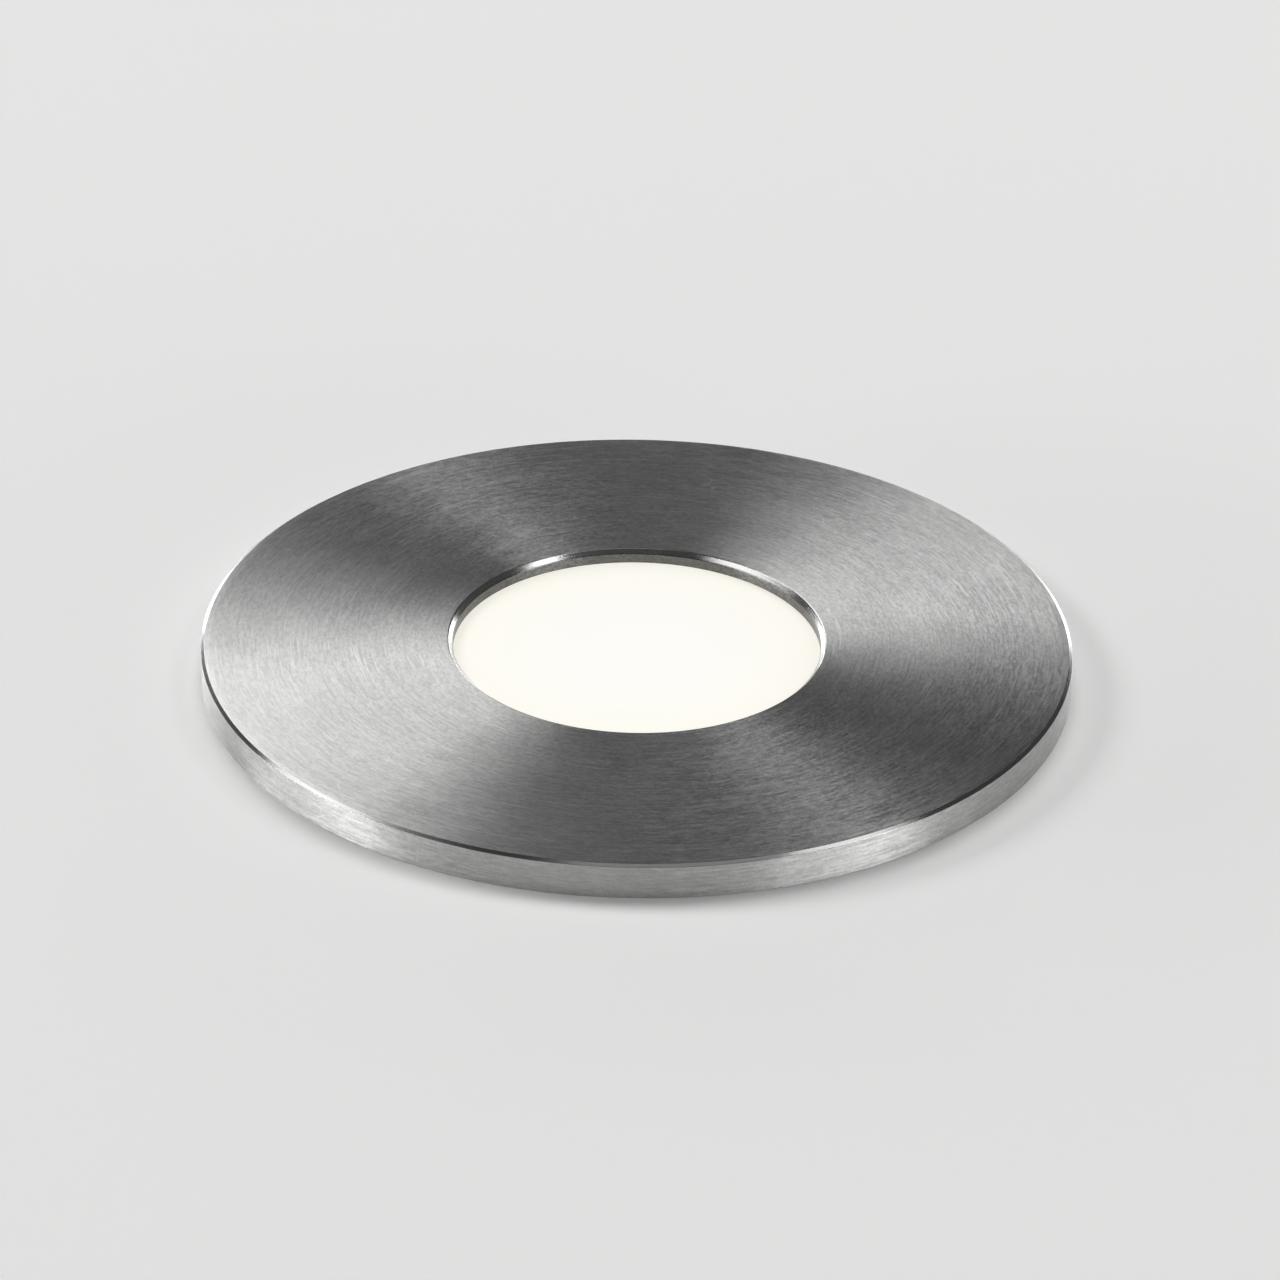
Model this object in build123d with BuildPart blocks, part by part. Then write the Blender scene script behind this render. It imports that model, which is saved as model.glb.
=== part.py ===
from build123d import *
import os
from math import ceil, cos, dist, pi, radians, sin, sqrt

# A round in-ground light: only the turned stainless bezel and its glowing window stand proud of
# the paving. The lamp hangs below in a plastic ground sleeve, and two sprung arms grip the sleeve.
# Millimetres. Z is up and runs down the middle of the lamp, and the finished ground is at z = 0.

# Light engine and optics, from the middle outwards
emitter_side = 3.0
emitter_thickness = 0.7
emitter_ring_r = 4.6
emitter_count = 6
emitter_clearance = 1.1
reflector_wall = 0.8
reflector_height = 6.4
reflector_flange_width = 1.4
reflector_flange_thickness = 0.8
board_screw_clearance = 2.6
board_margin = 1.6
board_clearance = 1.0
board_thickness = 1.6
pad_margin = 0.5
pad_thickness = 0.4
optic_side_clearance = 0.2
diffuser_thickness = 1.5
diffuser_gap = 0.4

# Glass and its gasket
lens_gasket_width = 2.0
lens_gasket_thickness = 1.0
glass_thickness = 4.0
glass_chamfer = 0.4
glass_side_clearance = 0.3

# Bezel
bezel_thickness = 3.0
flange_overhang = 5.0
rim_break = 0.2
foot_break = 0.15
lip_overlap = 4.2
lip_thickness = 1.2
aperture_flare = 0.38
aperture_flare_depth = 1.0
glass_seat_wall = 3.2
shoulder_gap = 0.6
skirt_length = 10.0
skirt_wall = 2.6
skirt_lead = 0.5
thread_clearance = 0.1
gasket_groove_depth = 0.8
gasket_groove_overlap = 1.0
gasket_side_clearance = 0.2
gasket_face_clearance = 0.05

# Ground sleeve
lamp_clearance = 2.3
sleeve_wall = 2.5
sleeve_length = 80.0
sleeve_lead = 1.0
notch_width = 14.0
notch_height = 16.0

# Housing
collar_gap = 0.4
collar_thickness = 2.0
body_wall = 5.7
web_thickness = 3.0
wiring_space = 5.5
fin_depth = 2.5
fin_gap = 1.8
fin_thickness = 1.4
fin_foot_height = 4.2
o_ring_wire_r = 0.8
o_ring_clearance = 0.05
neck_groove_width = 1.9
neck_groove_height = 1.2

# Fasteners
board_screw_r = 1.0
board_screw_head_r = 1.9
board_screw_head_height = 1.2
board_screw_length = 4.2
cover_screw_r = 1.25
cover_screw_head_r = 2.25
cover_screw_head_height = 1.4
cover_screw_length = 5.0
cover_screw_count = 4
block_screw_r = 1.25
block_screw_head_r = 2.2
block_screw_head_height = 1.6
block_screw_bite = 2.2
clamp_screw_r = 1.0
clamp_screw_length = 3.6
drive_share = 0.5
drive_depth_share = 0.6
screw_clearance = 0.05

# Wiring
lead_r = 0.6
lead_bend_r = 1.4
lead_side_gap = 4.0
lead_offset_y = 4.0
lead_tail = 2.2
lead_clearance = 0.1
board_lead_clearance = 0.4
grommet_wall = 0.6
grommet_flange_width = 0.9
grommet_flange_thickness = 0.8
block_length = 12.0
block_width = 16.0
block_height = 9.0
clamp_length = 9.6
clamp_side = 3.8
clamp_clearance = 0.1
clamp_lead_clearance = 0.15
clamp_screw_pitch = 5.6

# Rear cover and cable gland
cover_thickness = 3.0
spigot_height = 3.2
spigot_wall = 3.4
spigot_clearance = 0.2
spigot_groove_offset = 0.9
cover_groove_height = 1.5
cover_groove_depth = 1.1
cover_o_ring_wire_r = 0.6
boss_wall = 3.0
boss_height = 2.0
gland_thread_r = 6.0
gland_hex_flats = 14.0
gland_hex_height = 4.0
gland_o_ring_section = 1.0
gland_neck_length = 6.0
gland_neck_wall = 1.0
gland_bore_clearance = 0.4
gland_seat_depth = 4.6
gland_seal_bore_r = 3.1
gland_seal_wall = 1.1
gland_seal_length = 6.4
gland_claw_wall = 0.55
gland_claw_fingers = 8
gland_slit_width = 0.5
gland_slit_share = 0.7
nut_gap = 0.4
nut_hex_height = 6.0
nut_dome_height = 4.4
nut_mouth_clearance = 0.6
nut_dome_wall = 1.2
thread_gap = 0.1

# Sprung clips
clip_bore_gap = 0.3
arm_sheet = 0.6
arm_top_gap = 2.1
arm_tail = 1.6
arm_curl_r = 0.9
arm_curl_tail = 0.4
cheek_r = 2.0
cheek_rise_share = 0.7
cheek_side_clearance = 0.25
pin_r = 1.0
pin_clearance = 0.03
pin_head_r = 1.5
pin_head_thickness = 0.5
pin_end_play = 0.1
lug_wall = 1.2
lug_thickness = 2.0
pivot_height = 3.5
spring_wire_r = 0.3
spring_mean_r = 1.8
spring_turns = 3.5
spring_pitch = 1.1
spring_leg = 6.0
spring_clearance = 0.1
spring_end_clearance = 0.175

# Cuts run this far past the faces that they go through
overrun = 1.0

# Radii that follow, from the light engine out to the bezel's rim
reflector_throat_r = emitter_ring_r + emitter_side / 2 + emitter_clearance
board_screw_circle_r = reflector_throat_r + reflector_wall + board_screw_head_r + board_screw_clearance
board_r = board_screw_circle_r + board_screw_head_r + board_margin
pad_r = board_r - pad_margin
optic_cavity_r = board_r + board_clearance
optic_r = optic_cavity_r - optic_side_clearance
reflector_mouth_r = optic_r - reflector_flange_width
glass_r = optic_cavity_r + lens_gasket_width
glass_seat_r = glass_r + glass_side_clearance
aperture_r = glass_r - lip_overlap
thread_r = glass_seat_r + glass_seat_wall
neck_r = thread_r - thread_clearance
skirt_bore_r = thread_r + thread_clearance
skirt_r = skirt_bore_r + skirt_wall
sleeve_bore_r = skirt_r + lamp_clearance
sleeve_r = sleeve_bore_r + sleeve_wall
bezel_r = sleeve_r + flange_overhang
groove_inner_r = sleeve_bore_r - gasket_groove_overlap
groove_outer_r = sleeve_r + gasket_groove_overlap
neck_groove_r = skirt_bore_r - 2 * o_ring_wire_r - 2 * o_ring_clearance
body_r = thread_r
fin_root_r = body_r - fin_depth
wiring_cavity_r = body_r - body_wall
cover_screw_circle_r = (body_r + wiring_cavity_r) / 2

# Heights that follow, from the bezel down to the rear cover
lip_bottom = bezel_thickness - lip_thickness
glass_bottom = lip_bottom - glass_thickness
neck_top = glass_bottom - lens_gasket_thickness
shoulder = neck_top + shoulder_gap
diffuser_top = neck_top - diffuser_gap
diffuser_bottom = diffuser_top - diffuser_thickness
board_top = diffuser_bottom - reflector_height
board_bottom = board_top - board_thickness
web_top = board_bottom - pad_thickness
web_bottom = web_top - web_thickness
block_bottom = web_bottom - block_height
clamp_middle = web_bottom - block_height / 2
body_bottom = block_bottom - wiring_space
collar_top = -skirt_length - collar_gap
collar_bottom = collar_top - collar_thickness
neck_groove_bottom = collar_top + neck_groove_height
cover_top = body_bottom
cover_bottom = cover_top - cover_thickness

# Places of the leads and of the clips, which just clear the sleeve's bore
lead_offset_x = reflector_throat_r + reflector_wall + lead_side_gap
lead_holes = [(lead_offset_x, lead_offset_y), (-lead_offset_x, -lead_offset_y)]
spring_reach_y = spring_turns * spring_pitch / 2 + spring_wire_r + spring_end_clearance
arm_half_width = spring_reach_y + arm_sheet
arm_outer_x = sqrt((sleeve_bore_r - clip_bore_gap) ** 2 - arm_half_width**2)
arm_inner_x = arm_outer_x - arm_sheet
coil_reach = spring_mean_r + spring_wire_r + spring_clearance
pivot_x = arm_inner_x - coil_reach
pocket_x = pivot_x - coil_reach
pivot_z = body_bottom + pivot_height
lug_r = pin_r + lug_wall
cheek_inner_y = spring_reach_y
lug_inner_y = arm_half_width + cheek_side_clearance
lug_outer_y = lug_inner_y + lug_thickness
sides = {"right": 0, "left": 180}

os.makedirs("parts", exist_ok=True)


def half_section(*points):
    """A face in the XZ plane through (radius, height) points, to turn about Z."""
    with BuildSketch(Plane.XZ) as section:
        with BuildLine():
            Polyline(*points, close=True)
        make_face()
    return section.sketch


def ring_section(inner_r, outer_r, bottom, top):
    """The half section of a plain ring, or of a disc where its inner radius is 0."""
    return half_section((inner_r, bottom), (outer_r, bottom), (outer_r, top), (inner_r, top))


def o_ring(inner_r, wire_r, middle):
    """A rubber ring of round section, lying flat at the height of its middle."""
    with BuildPart() as seal:
        with BuildSketch(Plane.XZ):
            with Locations((inner_r + wire_r, middle)):
                Circle(wire_r)
        revolve(axis=Axis.Z)
    return seal.part


def screw(shank_r, length, head_r, head_height):
    """A cap screw: the head sits on the origin's plane, its shank goes down from there."""
    with BuildPart() as fastener:
        with BuildSketch():
            Circle(shank_r)
        extrude(amount=-length)
        with BuildSketch():
            Circle(head_r)
        extrude(amount=head_height)
        with BuildSketch(Plane.XY.offset(head_height)):
            RegularPolygon(head_r * drive_share, side_count=6)
        extrude(amount=-head_height * drive_depth_share, mode=Mode.SUBTRACT)
    return fastener.part


# Ground sleeve: a tube open at the bottom for drainage, with a cable notch on each side
with BuildPart() as ground_sleeve:
    revolve(
        half_section(
            (sleeve_bore_r, -sleeve_length),
            (sleeve_r, -sleeve_length),
            (sleeve_r, 0),
            (sleeve_bore_r + sleeve_lead, 0),
            (sleeve_bore_r, -sleeve_lead),
        ),
        axis=Axis.Z,
    )
    with BuildSketch(Plane.XZ):
        with Locations((0, -sleeve_length)):
            Rectangle(notch_width, 2 * (notch_height - notch_width / 2))
        with Locations((0, notch_height - notch_width / 2 - sleeve_length)):
            Circle(notch_width / 2)
    extrude(amount=sleeve_r + overrun, both=True, mode=Mode.SUBTRACT)
ground_sleeve.part.label = "ground_sleeve"
export_step(ground_sleeve.part, "parts/ground_sleeve.step")

# Bezel: plate, aperture lip, gasket groove under the plate and threaded skirt, turned in one piece
with BuildPart() as bezel:
    revolve(
        half_section(
            (aperture_r, lip_bottom),
            (aperture_r, bezel_thickness - aperture_flare_depth),
            (aperture_r + aperture_flare, bezel_thickness),
            (bezel_r - rim_break, bezel_thickness),
            (bezel_r, bezel_thickness - rim_break),
            (bezel_r, foot_break),
            (bezel_r - foot_break, 0),
            (groove_outer_r, 0),
            (groove_outer_r, gasket_groove_depth),
            (groove_inner_r, gasket_groove_depth),
            (groove_inner_r, 0),
            (skirt_r, 0),
            (skirt_r, skirt_lead - skirt_length),
            (skirt_r - skirt_lead, -skirt_length),
            (skirt_bore_r + skirt_lead, -skirt_length),
            (skirt_bore_r, skirt_lead - skirt_length),
            (skirt_bore_r, shoulder),
            (glass_seat_r, shoulder),
            (glass_seat_r, lip_bottom),
        ),
        axis=Axis.Z,
    )
bezel.part.label = "bezel"
export_step(bezel.part, "parts/bezel.step")

# Surface gasket: fills the bezel's groove and seals on the sleeve's top
with BuildPart() as surface_gasket:
    revolve(
        ring_section(
            groove_inner_r + gasket_side_clearance,
            groove_outer_r - gasket_side_clearance,
            0,
            gasket_groove_depth - gasket_face_clearance,
        ),
        axis=Axis.Z,
    )
surface_gasket.part.label = "surface_gasket"
export_step(surface_gasket.part, "parts/surface_gasket.step")

# Glass: toughened disc, held down by the bezel's lip
with BuildPart() as glass_lens:
    with BuildSketch(Plane.XY.offset(glass_bottom)):
        Circle(glass_r)
    extrude(amount=glass_thickness)
    chamfer(glass_lens.edges().filter_by(GeomType.CIRCLE), glass_chamfer)
glass_lens.part.label = "glass_lens"
export_step(glass_lens.part, "parts/glass_lens.step")

with BuildPart() as lens_gasket:
    revolve(ring_section(optic_cavity_r, glass_r, neck_top, glass_bottom), axis=Axis.Z)
lens_gasket.part.label = "lens_gasket"
export_step(lens_gasket.part, "parts/lens_gasket.step")

# Housing: threaded neck with its seal groove, collar, finned body, and lugs for the clips
fin_zone = collar_bottom - body_bottom - fin_foot_height
fin_pitch = fin_gap + fin_thickness
fin_gaps = int(fin_zone / fin_pitch)
web_hole_r = lead_r + lead_clearance + grommet_wall + lead_clearance
cover_thread_depth = cover_screw_length - (cover_thickness - cover_screw_head_height)
with BuildPart() as housing:
    revolve(
        half_section(
            (0, neck_top),
            (neck_r, neck_top),
            (neck_r, neck_groove_bottom + neck_groove_width),
            (neck_groove_r, neck_groove_bottom + neck_groove_width),
            (neck_groove_r, neck_groove_bottom),
            (neck_r, neck_groove_bottom),
            (neck_r, collar_top),
            (skirt_r, collar_top),
            (skirt_r, collar_bottom),
            (body_r, collar_bottom),
            (body_r, body_bottom),
            (0, body_bottom),
        ),
        axis=Axis.Z,
    )
    with BuildSketch(Plane.XZ):
        for gap in range(fin_gaps):
            with Locations(((fin_root_r + body_r) / 2, collar_bottom - fin_pitch * (gap + 1 / 2))):
                Rectangle(body_r - fin_root_r, fin_gap)
    revolve(axis=Axis.Z, mode=Mode.SUBTRACT)
    with BuildSketch(Plane.XZ):
        with Locations((0, pivot_z)):
            SlotCenterToCenter(2 * pivot_x, 2 * lug_r)
    extrude(amount=lug_outer_y, both=True)
    with BuildSketch(Plane.XZ):
        with Locations((pivot_x, pivot_z), (-pivot_x, pivot_z)):
            Circle(pin_r + pin_clearance)
    extrude(amount=lug_outer_y + overrun, both=True, mode=Mode.SUBTRACT)
    with BuildSketch(Plane.XZ):
        for way in (1, -1):
            with Locations((way * (pocket_x + body_r / 2), (collar_bottom + body_bottom) / 2)):
                Rectangle(body_r, collar_bottom - body_bottom)
    extrude(amount=lug_inner_y, both=True, mode=Mode.SUBTRACT)
    with BuildSketch(Plane.XY.offset(web_top)):
        Circle(optic_cavity_r)
    extrude(amount=neck_top - web_top, mode=Mode.SUBTRACT)
    with BuildSketch(Plane.XY.offset(body_bottom)):
        Circle(wiring_cavity_r)
    extrude(amount=web_bottom - body_bottom, mode=Mode.SUBTRACT)
    with BuildSketch(Plane.XY.offset(web_bottom)):
        Circle(block_screw_r + screw_clearance)
    extrude(amount=block_screw_bite + screw_clearance, mode=Mode.SUBTRACT)
    with BuildSketch(Plane.XY.offset(web_bottom)):
        with Locations(*lead_holes):
            Circle(web_hole_r)
    extrude(amount=web_thickness, mode=Mode.SUBTRACT)
    with BuildSketch(Plane.XY.offset(web_top)):
        with Locations((0, board_screw_circle_r), (0, -board_screw_circle_r)):
            Circle(board_screw_r + screw_clearance)
    extrude(amount=board_top - board_screw_length - screw_clearance - web_top, mode=Mode.SUBTRACT)
    with BuildSketch(Plane.XY.offset(body_bottom)):
        with PolarLocations(cover_screw_circle_r, cover_screw_count, start_angle=180 / cover_screw_count):
            Circle(cover_screw_r + screw_clearance)
    extrude(amount=cover_thread_depth + screw_clearance, mode=Mode.SUBTRACT)
housing.part.label = "housing"
export_step(housing.part, "parts/housing.step")

# Neck O-ring: keeps water out of the thread, under the bezel's skirt
with BuildPart() as neck_o_ring:
    add(
        o_ring(
            neck_groove_r + o_ring_clearance,
            o_ring_wire_r,
            neck_groove_bottom + neck_groove_width / 2,
        )
    )
neck_o_ring.part.label = "neck_o_ring"
export_step(neck_o_ring.part, "parts/neck_o_ring.step")

# Light engine: a metal-cored board on a thermal pad, screwed down to the housing's web
with BuildPart() as thermal_pad:
    with BuildSketch(Plane.XY.offset(web_top)):
        Circle(pad_r)
        with Locations(*lead_holes):
            Circle(lead_r + board_lead_clearance, mode=Mode.SUBTRACT)
        with Locations((0, board_screw_circle_r), (0, -board_screw_circle_r)):
            Circle(board_screw_r + screw_clearance, mode=Mode.SUBTRACT)
    extrude(amount=pad_thickness)
thermal_pad.part.label = "thermal_pad"
export_step(thermal_pad.part, "parts/thermal_pad.step")

with BuildPart() as led_board:
    with BuildSketch(Plane.XY.offset(board_bottom)):
        Circle(board_r)
    extrude(amount=board_thickness)
    with Locations(Plane.XY.offset(board_top)):
        with Locations((0, board_screw_circle_r), (0, -board_screw_circle_r)):
            Hole(board_screw_r + screw_clearance, depth=board_thickness)
        with Locations(*lead_holes):
            Hole(lead_r + board_lead_clearance, depth=board_thickness)
led_board.part.label = "led_board"
export_step(led_board.part, "parts/led_board.step")

with BuildPart() as led_emitters:
    with BuildSketch(Plane.XY.offset(board_top)):
        Rectangle(emitter_side, emitter_side)
        with PolarLocations(emitter_ring_r, emitter_count):
            Rectangle(emitter_side, emitter_side)
    extrude(amount=emitter_thickness)
led_emitters.part.label = "led_emitters"
export_step(led_emitters.part, "parts/led_emitters.step")

with BuildPart() as board_screws:
    with Locations((0, board_screw_circle_r, board_top), (0, -board_screw_circle_r, board_top)):
        add(screw(board_screw_r, board_screw_length, board_screw_head_r, board_screw_head_height))
board_screws.part.label = "board_screws"
export_step(board_screws.part, "parts/board_screws.step")

# Reflector: a white cone that stands on the board and carries the diffuser on its flange
flange_bottom = diffuser_bottom - reflector_flange_thickness
with BuildPart() as reflector:
    revolve(
        half_section(
            (reflector_throat_r, board_top),
            (reflector_throat_r + reflector_wall, board_top),
            (reflector_mouth_r, flange_bottom),
            (optic_r, flange_bottom),
            (optic_r, diffuser_bottom),
            (reflector_mouth_r, diffuser_bottom),
        ),
        axis=Axis.Z,
    )
reflector.part.label = "reflector"
export_step(reflector.part, "parts/reflector.step")

with BuildPart() as diffuser:
    with BuildSketch(Plane.XY.offset(diffuser_bottom)):
        Circle(optic_r)
    extrude(amount=diffuser_thickness)
diffuser.part.label = "diffuser"
export_step(diffuser.part, "parts/diffuser.step")

# Terminal block, hung under the web: two brass clamps side by side, each with two screws
with BuildPart() as terminal_block:
    with BuildSketch(Plane.XY.offset(block_bottom)):
        Rectangle(block_length, block_width)
    extrude(amount=block_height)
    for way in (1, -1):
        with BuildSketch(Plane.YZ):
            with Locations((way * lead_offset_y, clamp_middle)):
                Rectangle(clamp_side + 2 * clamp_clearance, clamp_side + 2 * clamp_clearance)
        extrude(amount=block_length / 2 + overrun, both=True, mode=Mode.SUBTRACT)
    with Locations(Plane(origin=(0, 0, block_bottom), z_dir=(0, 0, -1))):
        with GridLocations(clamp_screw_pitch, 2 * lead_offset_y, 2, 2):
            Hole(clamp_screw_r + clamp_clearance, depth=block_height / 2)
        CounterBoreHole(
            block_screw_r + screw_clearance,
            block_screw_head_r + clamp_clearance,
            block_screw_head_height,
            depth=block_height,
        )
terminal_block.part.label = "terminal_block"
export_step(terminal_block.part, "parts/terminal_block.step")

with BuildPart() as terminal_clamps:
    for way in (1, -1):
        with BuildSketch(Plane.YZ):
            with Locations((way * lead_offset_y, clamp_middle)):
                Rectangle(clamp_side, clamp_side)
                Circle(lead_r + clamp_lead_clearance, mode=Mode.SUBTRACT)
        extrude(amount=clamp_length / 2, both=True)
    with Locations(Plane(origin=(0, 0, clamp_middle - clamp_side / 2), z_dir=(0, 0, -1))):
        with GridLocations(clamp_screw_pitch, 2 * lead_offset_y, 2, 2):
            Hole(clamp_screw_r + screw_clearance, depth=clamp_side / 2)
terminal_clamps.part.label = "terminal_clamps"
export_step(terminal_clamps.part, "parts/terminal_clamps.step")

with BuildPart() as terminal_screws:
    with BuildSketch(Plane.XY.offset(clamp_middle - lead_r - clamp_lead_clearance)):
        with GridLocations(clamp_screw_pitch, 2 * lead_offset_y, 2, 2):
            Circle(clamp_screw_r)
    extrude(amount=-clamp_screw_length)
terminal_screws.part.label = "terminal_screws"
export_step(terminal_screws.part, "parts/terminal_screws.step")

with BuildPart() as block_screw:
    with Locations((0, 0, block_bottom + block_screw_head_height)):
        add(
            screw(
                block_screw_r,
                block_height - block_screw_head_height + block_screw_bite,
                block_screw_head_r,
                block_screw_head_height,
            ),
            rotation=(180, 0, 0),
        )
block_screw.part.label = "block_screw"
export_step(block_screw.part, "parts/block_screw.step")

# Leads: from a clamp out to the housing's side, up through the web, and in on to the board
lead_top = board_top + lead_r
for name, turn in (("lead_positive", 0), ("lead_negative", 180)):
    with BuildPart() as wire:
        with BuildLine():
            FilletPolyline(
                (0, lead_offset_y, clamp_middle),
                (lead_offset_x, lead_offset_y, clamp_middle),
                (lead_offset_x, lead_offset_y, lead_top),
                (lead_offset_x - lead_tail, lead_offset_y, lead_top),
                radius=lead_bend_r,
            )
        with BuildSketch(Plane(origin=(0, lead_offset_y, clamp_middle), z_dir=(1, 0, 0))):
            Circle(lead_r)
        sweep()
    with BuildPart() as lead:
        add(wire.part, rotation=(0, 0, turn))
    lead.part.label = name
    export_step(lead.part, f"parts/{name}.step")

with BuildPart() as wire_grommets:
    for x, y in lead_holes:
        with BuildSketch(Plane.XY.offset(web_bottom - grommet_flange_thickness)):
            with Locations((x, y)):
                Circle(web_hole_r + grommet_flange_width)
        extrude(amount=grommet_flange_thickness)
        with BuildSketch(Plane.XY.offset(web_bottom)):
            with Locations((x, y)):
                Circle(web_hole_r - lead_clearance)
        extrude(amount=web_thickness - lead_clearance)
        with BuildSketch(Plane.XY.offset(web_bottom - grommet_flange_thickness)):
            with Locations((x, y)):
                Circle(lead_r + lead_clearance)
        extrude(amount=grommet_flange_thickness + web_thickness, mode=Mode.SUBTRACT)
wire_grommets.part.label = "wire_grommets"
export_step(wire_grommets.part, "parts/wire_grommets.step")

# Rear cover: a disc with a sealed spigot and a boss that takes the cable gland
spigot_r = wiring_cavity_r - spigot_clearance
spigot_groove_bottom = cover_top + spigot_groove_offset
with BuildPart() as rear_cover:
    revolve(
        half_section(
            (0, cover_bottom),
            (body_r, cover_bottom),
            (body_r, cover_top),
            (spigot_r, cover_top),
            (spigot_r, spigot_groove_bottom),
            (spigot_r - cover_groove_depth, spigot_groove_bottom),
            (spigot_r - cover_groove_depth, spigot_groove_bottom + cover_groove_height),
            (spigot_r, spigot_groove_bottom + cover_groove_height),
            (spigot_r, cover_top + spigot_height),
            (spigot_r - spigot_wall, cover_top + spigot_height),
            (spigot_r - spigot_wall, cover_top),
            (gland_thread_r + boss_wall, cover_top),
            (gland_thread_r + boss_wall, cover_top + boss_height),
            (0, cover_top + boss_height),
        ),
        axis=Axis.Z,
    )
    with Locations(Plane(origin=(0, 0, cover_bottom), z_dir=(0, 0, -1))):
        with PolarLocations(cover_screw_circle_r, cover_screw_count, start_angle=180 / cover_screw_count):
            CounterBoreHole(
                cover_screw_r + screw_clearance,
                cover_screw_head_r + screw_clearance,
                cover_screw_head_height,
                depth=cover_thickness,
            )
        Hole(gland_thread_r + thread_gap / 2, depth=cover_thickness + boss_height)
rear_cover.part.label = "rear_cover"
export_step(rear_cover.part, "parts/rear_cover.step")

with BuildPart() as rear_cover_o_ring:
    add(
        o_ring(
            spigot_r - cover_groove_depth + o_ring_clearance,
            cover_o_ring_wire_r,
            spigot_groove_bottom + cover_groove_height / 2,
        )
    )
rear_cover_o_ring.part.label = "rear_cover_o_ring"
export_step(rear_cover_o_ring.part, "parts/rear_cover_o_ring.step")

with BuildPart() as rear_cover_screws:
    with Locations((0, 0, cover_bottom + cover_screw_head_height)):
        with PolarLocations(cover_screw_circle_r, cover_screw_count, start_angle=180 / cover_screw_count):
            add(
                screw(cover_screw_r, cover_screw_length, cover_screw_head_r, cover_screw_head_height),
                rotation=(180, 0, 0),
            )
rear_cover_screws.part.label = "rear_cover_screws"
export_step(rear_cover_screws.part, "parts/rear_cover_screws.step")

# Cable gland: body, face seal, rubber seal in a slit claw, and the dome nut that squeezes them
gland_hex_r = gland_hex_flats / sqrt(3)
gland_bore_r = gland_seal_bore_r + gland_bore_clearance
gland_seat_r = gland_thread_r - gland_neck_wall
gland_hex_top = cover_bottom - gland_o_ring_section
gland_hex_bottom = gland_hex_top - gland_hex_height
gland_neck_bottom = gland_hex_bottom - gland_neck_length
seat_top = gland_neck_bottom + gland_seat_depth
with BuildPart() as gland_body:
    with BuildSketch(Plane.XY.offset(gland_hex_bottom)):
        RegularPolygon(gland_hex_r, side_count=6)
    extrude(amount=gland_hex_height)
    with BuildSketch(Plane.XY.offset(gland_neck_bottom)):
        Circle(gland_thread_r - thread_gap / 2)
    extrude(amount=cover_top + boss_height - gland_neck_bottom)
    with Locations((0, 0, cover_top + boss_height)):
        Hole(gland_bore_r, depth=cover_top + boss_height - gland_neck_bottom)
    with BuildSketch(Plane.XY.offset(gland_neck_bottom)):
        Circle(gland_seat_r)
    extrude(amount=gland_seat_depth, mode=Mode.SUBTRACT)
gland_body.part.label = "gland_body"
export_step(gland_body.part, "parts/gland_body.step")

with BuildPart() as gland_o_ring:
    add(
        o_ring(
            gland_thread_r + thread_gap,
            gland_o_ring_section / 2,
            cover_bottom - gland_o_ring_section / 2,
        )
    )
gland_o_ring.part.label = "gland_o_ring"
export_step(gland_o_ring.part, "parts/gland_o_ring.step")

seal_r = gland_seal_bore_r + gland_seal_wall
seal_bottom = seat_top - gland_seal_length
claw_r = seal_r + thread_gap + gland_claw_wall
claw_top = seat_top - thread_gap
with BuildPart() as gland_seal:
    revolve(ring_section(gland_seal_bore_r, seal_r, seal_bottom, seat_top), axis=Axis.Z)
gland_seal.part.label = "gland_seal"
export_step(gland_seal.part, "parts/gland_seal.step")

with BuildPart() as gland_claw:
    revolve(ring_section(seal_r + thread_gap, claw_r, seal_bottom, claw_top), axis=Axis.Z)
    with BuildSketch(Plane.XY.offset(seal_bottom)):
        with PolarLocations(claw_r, gland_claw_fingers):
            Rectangle(2 * gland_claw_wall + thread_gap, gland_slit_width)
    extrude(amount=gland_seal_length * gland_slit_share, mode=Mode.SUBTRACT)
gland_claw.part.label = "gland_claw"
export_step(gland_claw.part, "parts/gland_claw.step")

nut_top = gland_hex_bottom - nut_gap
nut_shoulder = nut_top - nut_hex_height
nut_bottom = nut_shoulder - nut_dome_height
nut_bore_r = gland_thread_r + thread_gap / 2
nut_dome_r = gland_hex_flats / 2
nut_mouth_r = gland_seal_bore_r + nut_mouth_clearance
with BuildPart() as gland_nut:
    with BuildSketch(Plane.XY.offset(nut_shoulder)):
        RegularPolygon(gland_hex_r, side_count=6)
    extrude(amount=nut_hex_height)
    with BuildSketch(Plane.XZ):
        with BuildLine():
            Line((0, nut_bottom), (nut_mouth_r + nut_dome_wall, nut_bottom))
            Line((0, nut_bottom), (0, nut_shoulder))
            Line((0, nut_shoulder), (nut_dome_r, nut_shoulder))
            TangentArc(
                (nut_dome_r, nut_shoulder),
                (nut_mouth_r + nut_dome_wall, nut_bottom),
                tangent=(0, -1),
            )
        make_face()
    revolve(axis=Axis.Z)
    revolve(
        half_section(
            (0, nut_bottom),
            (nut_mouth_r, nut_bottom),
            (nut_mouth_r, seal_bottom - thread_gap),
            (claw_r + thread_gap, seal_bottom - thread_gap),
            (nut_bore_r, gland_neck_bottom - thread_gap),
            (nut_bore_r, nut_top),
            (0, nut_top),
        ),
        axis=Axis.Z,
        mode=Mode.SUBTRACT,
    )
gland_nut.part.label = "gland_nut"
export_step(gland_nut.part, "parts/gland_nut.step")


def helix_point(turn, start_y):
    """Where the coil's centre line stands after some turns, about the clip's pivot."""
    angle = 2 * pi * turn
    return Vector(
        pivot_x - spring_mean_r * cos(angle),
        start_y + spring_pitch * turn,
        pivot_z - spring_mean_r * sin(angle),
    )


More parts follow.
